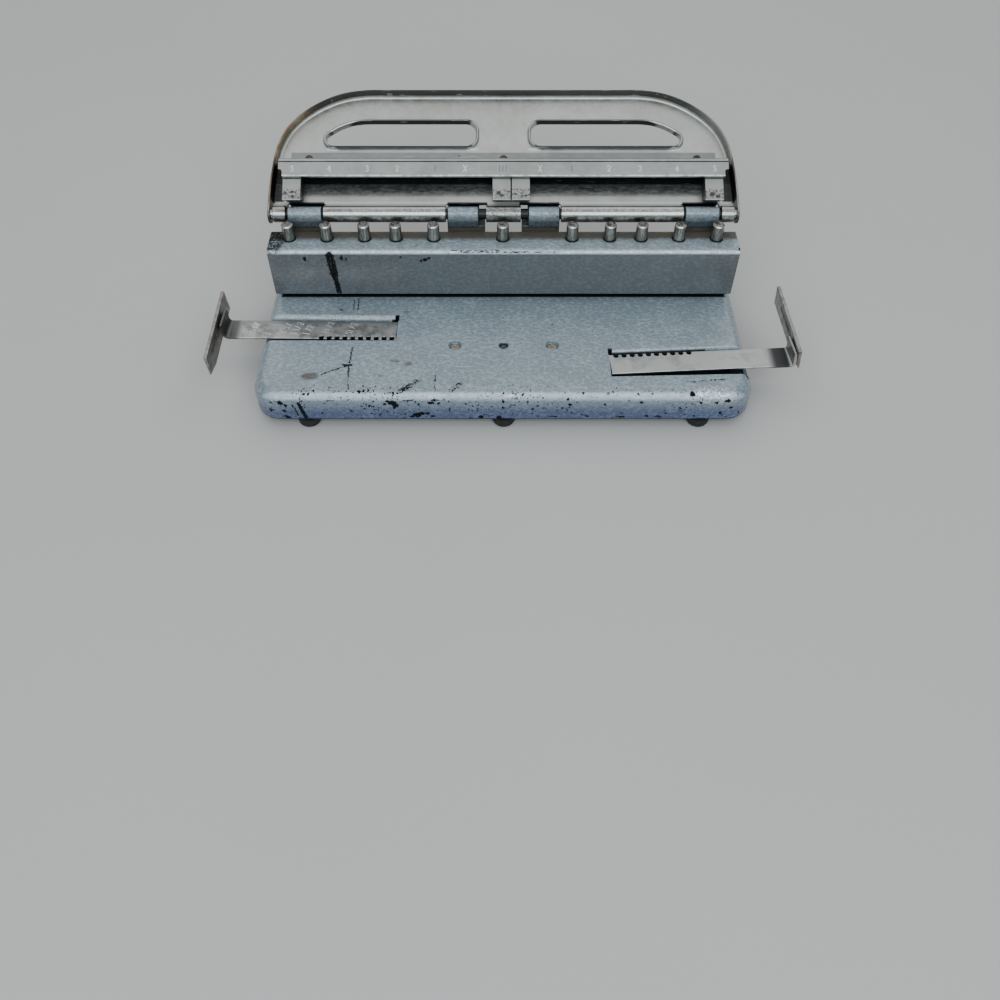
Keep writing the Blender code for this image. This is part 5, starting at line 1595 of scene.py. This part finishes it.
def make_gauge(g, side):
    place = gauge_frame(g)
    h = STRIP_W / 2
    z0, z1 = STRIP_Z
    run = g["run"]
    pitch, r, sunk = g["pitch"], 1.3, 0.75
    front = [(0.0, -h)]
    rear = [(0.0, h)]

    def notches(w, sgn):
        pts = []
        for k in range(10):
            c = g["notch_from"] + pitch * k
            a0 = -radians(35)
            for j in range(15):
                a = a0 + (pi - 2 * a0) * j / 14
                pts.append((c - r * cos(a), w - sgn * (sunk + r * sin(a))))
        return pts
    if g["notch_side"] < 0:
        front += notches(-h, -1)
    else:
        rear += notches(h, 1)
    front.append((run, -h))
    rear.append((run, h))
    outline = [Vector(p) for p in front + list(reversed(rear))]
    e = 0.14
    inner = offset_loop(outline, -e)
    flat = loft("gauge_strip_%s_blank" % side,
                [[place(p.x, p.y, z0) for p in inner],
                 [place(p.x, p.y, z0 + e) for p in outline],
                 [place(p.x, p.y, z1 - e) for p in outline],
                 [place(p.x, p.y, z1) for p in inner]])
    t = z1 - z0
    ri = g["bend"]
    prof = [(run - 4.0, z0 + 0.02), (run, z0 + 0.02)]
    for k in range(1, 11):
        a = radians(90 * k / 10)
        prof.append((run + (ri + t) * sin(a),
                     z0 + 0.02 + (ri + t) * (1 - cos(a))))
    tip = g["lean"] * (TAB_Z - z1 - ri) / (STOP_Z[1] - STOP_Z[0])
    prof.append((run + ri + t + tip, TAB_Z - 0.3))
    prof.append((run + ri + t + tip - 0.3, TAB_Z))
    prof.append((run + ri + tip, TAB_Z))
    for k in range(10, 0, -1):
        a = radians(90 * k / 10)
        prof.append((run + ri * sin(a), z1 - 0.02 + ri * (1 - cos(a))))
    prof += [(run, z1 - 0.02), (run - 4.0, z1 - 0.02)]
    tab = loft("add_tab", [[place(u, w, z) for u, z in prof]
                           for w in (-h + 0.06, h - 0.06)])
    boolean(flat, [tab], "UNION")
    give(flat, M["strip_%s" % side], 30.0)
    body = "gauge_%s" % side
    piece(flat, body, "nickel_strip", "gauge_strip_%s" % side)

    zb, zt = STOP_Z
    x35, grow = g["stop"]
    y0, y1 = g["stop_y"]

    def section(y, foot, bead, inset=0.0):
        x = x35 + grow * (y + 35.0)

        def lean(z):
            return g["lean"] * (z - zb) / (zt - zb)
        prof = [(foot, zb + 0.1), (lean(21.0) + 0.7 * foot, 21.0),
                (lean(24.4) + 0.3 * foot, 24.4),
                (lean(24.9) - 0.35 * bead, 24.9), (lean(25.4) - bead, 25.4),
                (lean(25.8) - bead, 25.8), (lean(26.3) - 0.35 * bead, 26.3),
                (lean(26.8), 26.8),
                (lean(29.6), 29.6), (lean(29.9) + 0.1, 29.9),
                (lean(zt) + 0.3, zt),
                (lean(zt) + STOP_T - 0.35, zt),
                (lean(29.85) + STOP_T - 0.08, 29.85),
                (lean(29.55) + STOP_T, 29.55),
                (max(STOP_T, foot + 0.3), zb)]
        cu = sum(p[0] for p in prof) / len(prof)
        cz = sum(p[1] for p in prof) / len(prof)
        out = []
        for u, z in prof:
            u = cu + (u - cu) * (1 - inset * 0.25)
            z = cz + (z - cz) * (1 - inset * 0.045)
            out.append(world(g["sgn"] * (x + u), y, z))
        return out
    stations = [(y0, 1.3, 0.0, 1.0), (y0 + 0.25, 1.26, 0.0, 0.0),
                (y0 + 4.0, 0.65, 0.0, 0.0), (y0 + 7.8, 0.08, 0.0, 0.0),
                (y0 + 8.4, 0.0, 0.1, 0.0), (y0 + 9.2, 0.0, 0.42, 0.0),
                (y0 + 10.2, 0.0, 0.45, 0.0), (y1 - 13.2, 0.0, 0.45, 0.0),
                (y1 - 12.3, 0.0, 0.40, 0.0), (y1 - 11.5, 0.0, 0.08, 0.0),
                (y1 - 10.8, 0.0, 0.0, 0.0), (y1 - 0.25, 0.0, 0.0, 0.0),
                (y1, 0.0, 0.0, 1.0)]
    stop = loft("gauge_stop_%s_bar" % side,
                [section(*s) for s in stations], M["stop"], smooth=32)
    piece(stop, body, "nickel_strip", "gauge_stop_%s" % side)


# -------------------------------------------------------------------- marks
GLYPHS = {
    "1": [[(0.5, 0.0), (0.5, 1.0)]],
    "|": [[(0.5, 0.0), (0.5, 1.0)]],
    "/": [[(0.2, 0.0), (0.8, 1.0)]],
    "X": [[(0.12, 0.0), (0.88, 1.0)], [(0.12, 1.0), (0.88, 0.0)]],
    "2": [[(0.12, 0.78), (0.3, 0.98), (0.62, 1.0), (0.85, 0.8), (0.78, 0.56),
           (0.12, 0.0), (0.9, 0.0)]],
    "3": [[(0.12, 0.88), (0.4, 1.0), (0.75, 0.93), (0.8, 0.7), (0.5, 0.54),
           (0.82, 0.4), (0.82, 0.12), (0.45, 0.0), (0.1, 0.1)]],
    "4": [[(0.72, 0.0), (0.72, 1.0), (0.08, 0.3), (0.92, 0.3)]],
    "5": [[(0.85, 1.0), (0.22, 1.0), (0.16, 0.55), (0.55, 0.64), (0.86, 0.42),
           (0.8, 0.1), (0.45, 0.0), (0.1, 0.1)]],
    "6": [[(0.82, 0.92), (0.5, 1.0), (0.2, 0.75), (0.12, 0.3), (0.4, 0.0),
           (0.8, 0.1), (0.86, 0.4), (0.55, 0.58), (0.16, 0.4)]],
    "8": [[(0.5, 0.55), (0.2, 0.72), (0.25, 0.95), (0.5, 1.0), (0.78, 0.93),
           (0.8, 0.72), (0.5, 0.55), (0.12, 0.32), (0.2, 0.05), (0.5, 0.0),
           (0.82, 0.06), (0.88, 0.32), (0.5, 0.55)]],
    "9": [[(0.84, 0.6), (0.45, 0.42), (0.14, 0.62), (0.2, 0.92), (0.55, 1.0),
           (0.86, 0.78), (0.82, 0.3), (0.5, 0.0), (0.2, 0.06)]],
}


def strokes(name, items, place, mat, depth=0.02):
    """Flat narrow ribbons for stamped figures.

    items: (polyline in the place's two flat coordinates, half width)."""
    verts, faces = [], []
    for line, hw in items:
        pts = [Vector(p) for p in line]
        for a, b in zip(pts[:-1], pts[1:]):
            d = (b - a)
            if d.length < 1e-6:
                continue
            d.normalize()
            q = Vector((-d.y, d.x)) * hw
            e = d * hw * 0.6
            base = len(verts)
            loop = [a - e + q * 0.6, a + q, b + q, b + e + q * 0.6,
                    b + e - q * 0.6, b - q, a - q, a - e - q * 0.6]
            for up in (0.0, 1.0):
                for p in loop:
                    verts.append(place(p.x, p.y, -depth * 0.5 + up * depth))
            n = len(loop)
            faces.append(tuple(base + n + k for k in range(n)))
            faces.append(tuple(base + k for k in reversed(range(n))))
            for k in range(n):
                k2 = (k + 1) % n
                faces.append((base + k, base + k2, base + n + k2,
                              base + n + k))
    return mesh_object(name, verts, faces, mat, smooth=30)


def glyph_lines(text, x, y, size, angle=0.0, width=0.62, gap=0.28):
    out = []
    ca, sa = cos(angle), sin(angle)
    total = len(text) * width + (len(text) - 1) * gap
    for i, ch in enumerate(text):
        for poly in GLYPHS.get(ch, []):
            line = []
            for px, py in poly:
                gx = (i * (width + gap) + px * width - total / 2) * size
                gy = (py - 0.5) * size
                line.append((x + gx * ca - gy * sa, y + gx * sa + gy * ca))
            out.append(line)
    return out


def make_marks():
    def on_bar(x, s, up):
        return on_handle(x, s, 7.56 + up)
    items = []
    for x, ch, sz, hw in ((-106.1, "5", 2.6, 0.24), (-87.6, "4", 3.2, 0.32),
                          (-68.5, "3", 3.0, 0.26), (-53.4, "2", 2.9, 0.22),
                          (-19.3, "X", 3.6, 0.26), (18.4, "X", 3.6, 0.22),
                          (53.0, "2", 3.0, 0.27), (68.6, "3", 3.0, 0.27),
                          (87.1, "4", 3.0, 0.27), (106.2, "5", 2.7, 0.27)):
        for line in glyph_lines(ch, x, 20.6, sz):
            items.append((line, hw))
    ob = strokes("scale_figures", items, on_bar, M["mark"])
    piece(ob, "handle", "nickel_handle")
    items = []
    for x in (-34.4, 34.4):
        items.append((glyph_lines("1", x, 20.6, 3.4)[0], 0.13))
    for x in (-1.9, -0.3, 1.3):
        items.append((glyph_lines("|", x, 20.6, 3.4)[0], 0.12))
    ob = strokes("scale_lines", items, on_bar, M["darkmark"])
    piece(ob, "handle", "nickel_handle")

    # sizes stamped across the left strip, read from the side
    def on_strip(x, y, up):
        return world(x, y - Y_SHIFT, STRIP_Z[1] + up)
    items = []
    for text, x, y, sz, hw in (
            ("9", -129.6, -28.8, 2.83, 0.27), ("8", -127.0, -27.6, 3.07, 0.30),
            ("4/", -126.6, -23.9, 3.07, 0.27),
            ("6", -119.2, -30.2, 2.83, 0.27),
            ("6", -111.4, -29.0, 2.83, 0.24), ("3/", -110.0, -24.4, 3.07, 0.27),
            ("11", -105.8, -28.6, 3.54, 0.30), ("/2", -104.2, -24.0, 3.30, 0.30),
            ("1/", -99.6, -28.6, 3.54, 0.30), ("2", -98.4, -25.0, 3.30, 0.27),
            ("8", -90.4, -28.8, 3.30, 0.27), ("1/2", -88.8, -24.6, 2.83, 0.24),
            ("5", -78.4, -29.6, 3.07, 0.24), ("1/2", -77.0, -25.4, 3.07, 0.24)):
        for line in glyph_lines(text, x, y, sz, angle=radians(76)):
            items.append((line, hw))
    ob = strokes("strip_figures", items, on_strip, M["mark"])
    piece(ob, "gauge_left", "nickel_strip")


# -------------------------------------------------------------------- build
make_camera()
make_materials()
make_base()
make_hood()
make_pins()
make_feet()
make_studs()
make_rod()
make_handle()
make_scale_bar()
make_pressers()
make_gauge(LEFT_GAUGE, "left")
make_gauge(RIGHT_GAUGE, "right")
make_marks()

KEEP = {"die_plate": "steel", "guide_plate": "steel", "bottom_cover": "dark",
        "cover_screw_left": "dark", "cover_screw_right": "dark",
        "gauge_leaf_left": "spring", "gauge_leaf_right": "spring"}
for k in range(1, 5):
    KEEP["hood_screw_%d" % k] = "dark"
for k in range(1, 12):
    KEEP["pin_spring_%02d" % k] = "spring"
for name, key in KEEP.items():
    ob = NODES[name]
    ob.data.materials.clear()
    ob.data.materials.append(M[key])

# ------------------------------------------------------------ floor, lights
me = bpy.data.meshes.new("floor")
me.from_pydata([(-4, -4, -0.00005), (4, -4, -0.00005), (4, 4, -0.00005),
                (-4, 4, -0.00005)], [], [(0, 1, 2, 3)])
floor = bpy.data.objects.new("floor", me)
bpy.context.scene.collection.objects.link(floor)
me.materials.append(floor_mat())


def area(name, loc, target, size, power, color=(1, 1, 1)):
    li = bpy.data.lights.new(name, "AREA")
    li.shape = "RECTANGLE"
    li.size, li.size_y = size
    li.energy = power
    li.color = color
    ob = bpy.data.objects.new(name, li)
    bpy.context.scene.collection.objects.link(ob)
    ob.location = loc
    d = (Vector(target) - Vector(loc)).normalized()
    ob.rotation_euler = d.to_track_quat("-Z", "Y").to_euler()
    ob.visible_camera = False
    return ob


w = bpy.data.worlds.new("studio")
bpy.context.scene.world = w
w.use_nodes = True
w.node_tree.nodes["Background"].inputs[0].default_value = (0.86, 0.93, 1.0, 1)
w.node_tree.nodes["Background"].inputs[1].default_value = 0.26
area("overhead", (0.0, 0.08, 1.5), (0, 0.02, 0.03), (2.6, 1.35), 7.2,
     (1.0, 0.99, 0.965))
area("window", (0.0, -1.05, 0.92), (0, 0, 0.04), (1.7, 0.95), 13.0,
     (0.84, 0.93, 1.0))
area("backdrop", (0.0, 1.20, 0.95), (0, 0, 0.05), (2.6, 1.6), 9.5,
     (0.94, 0.97, 1.0))
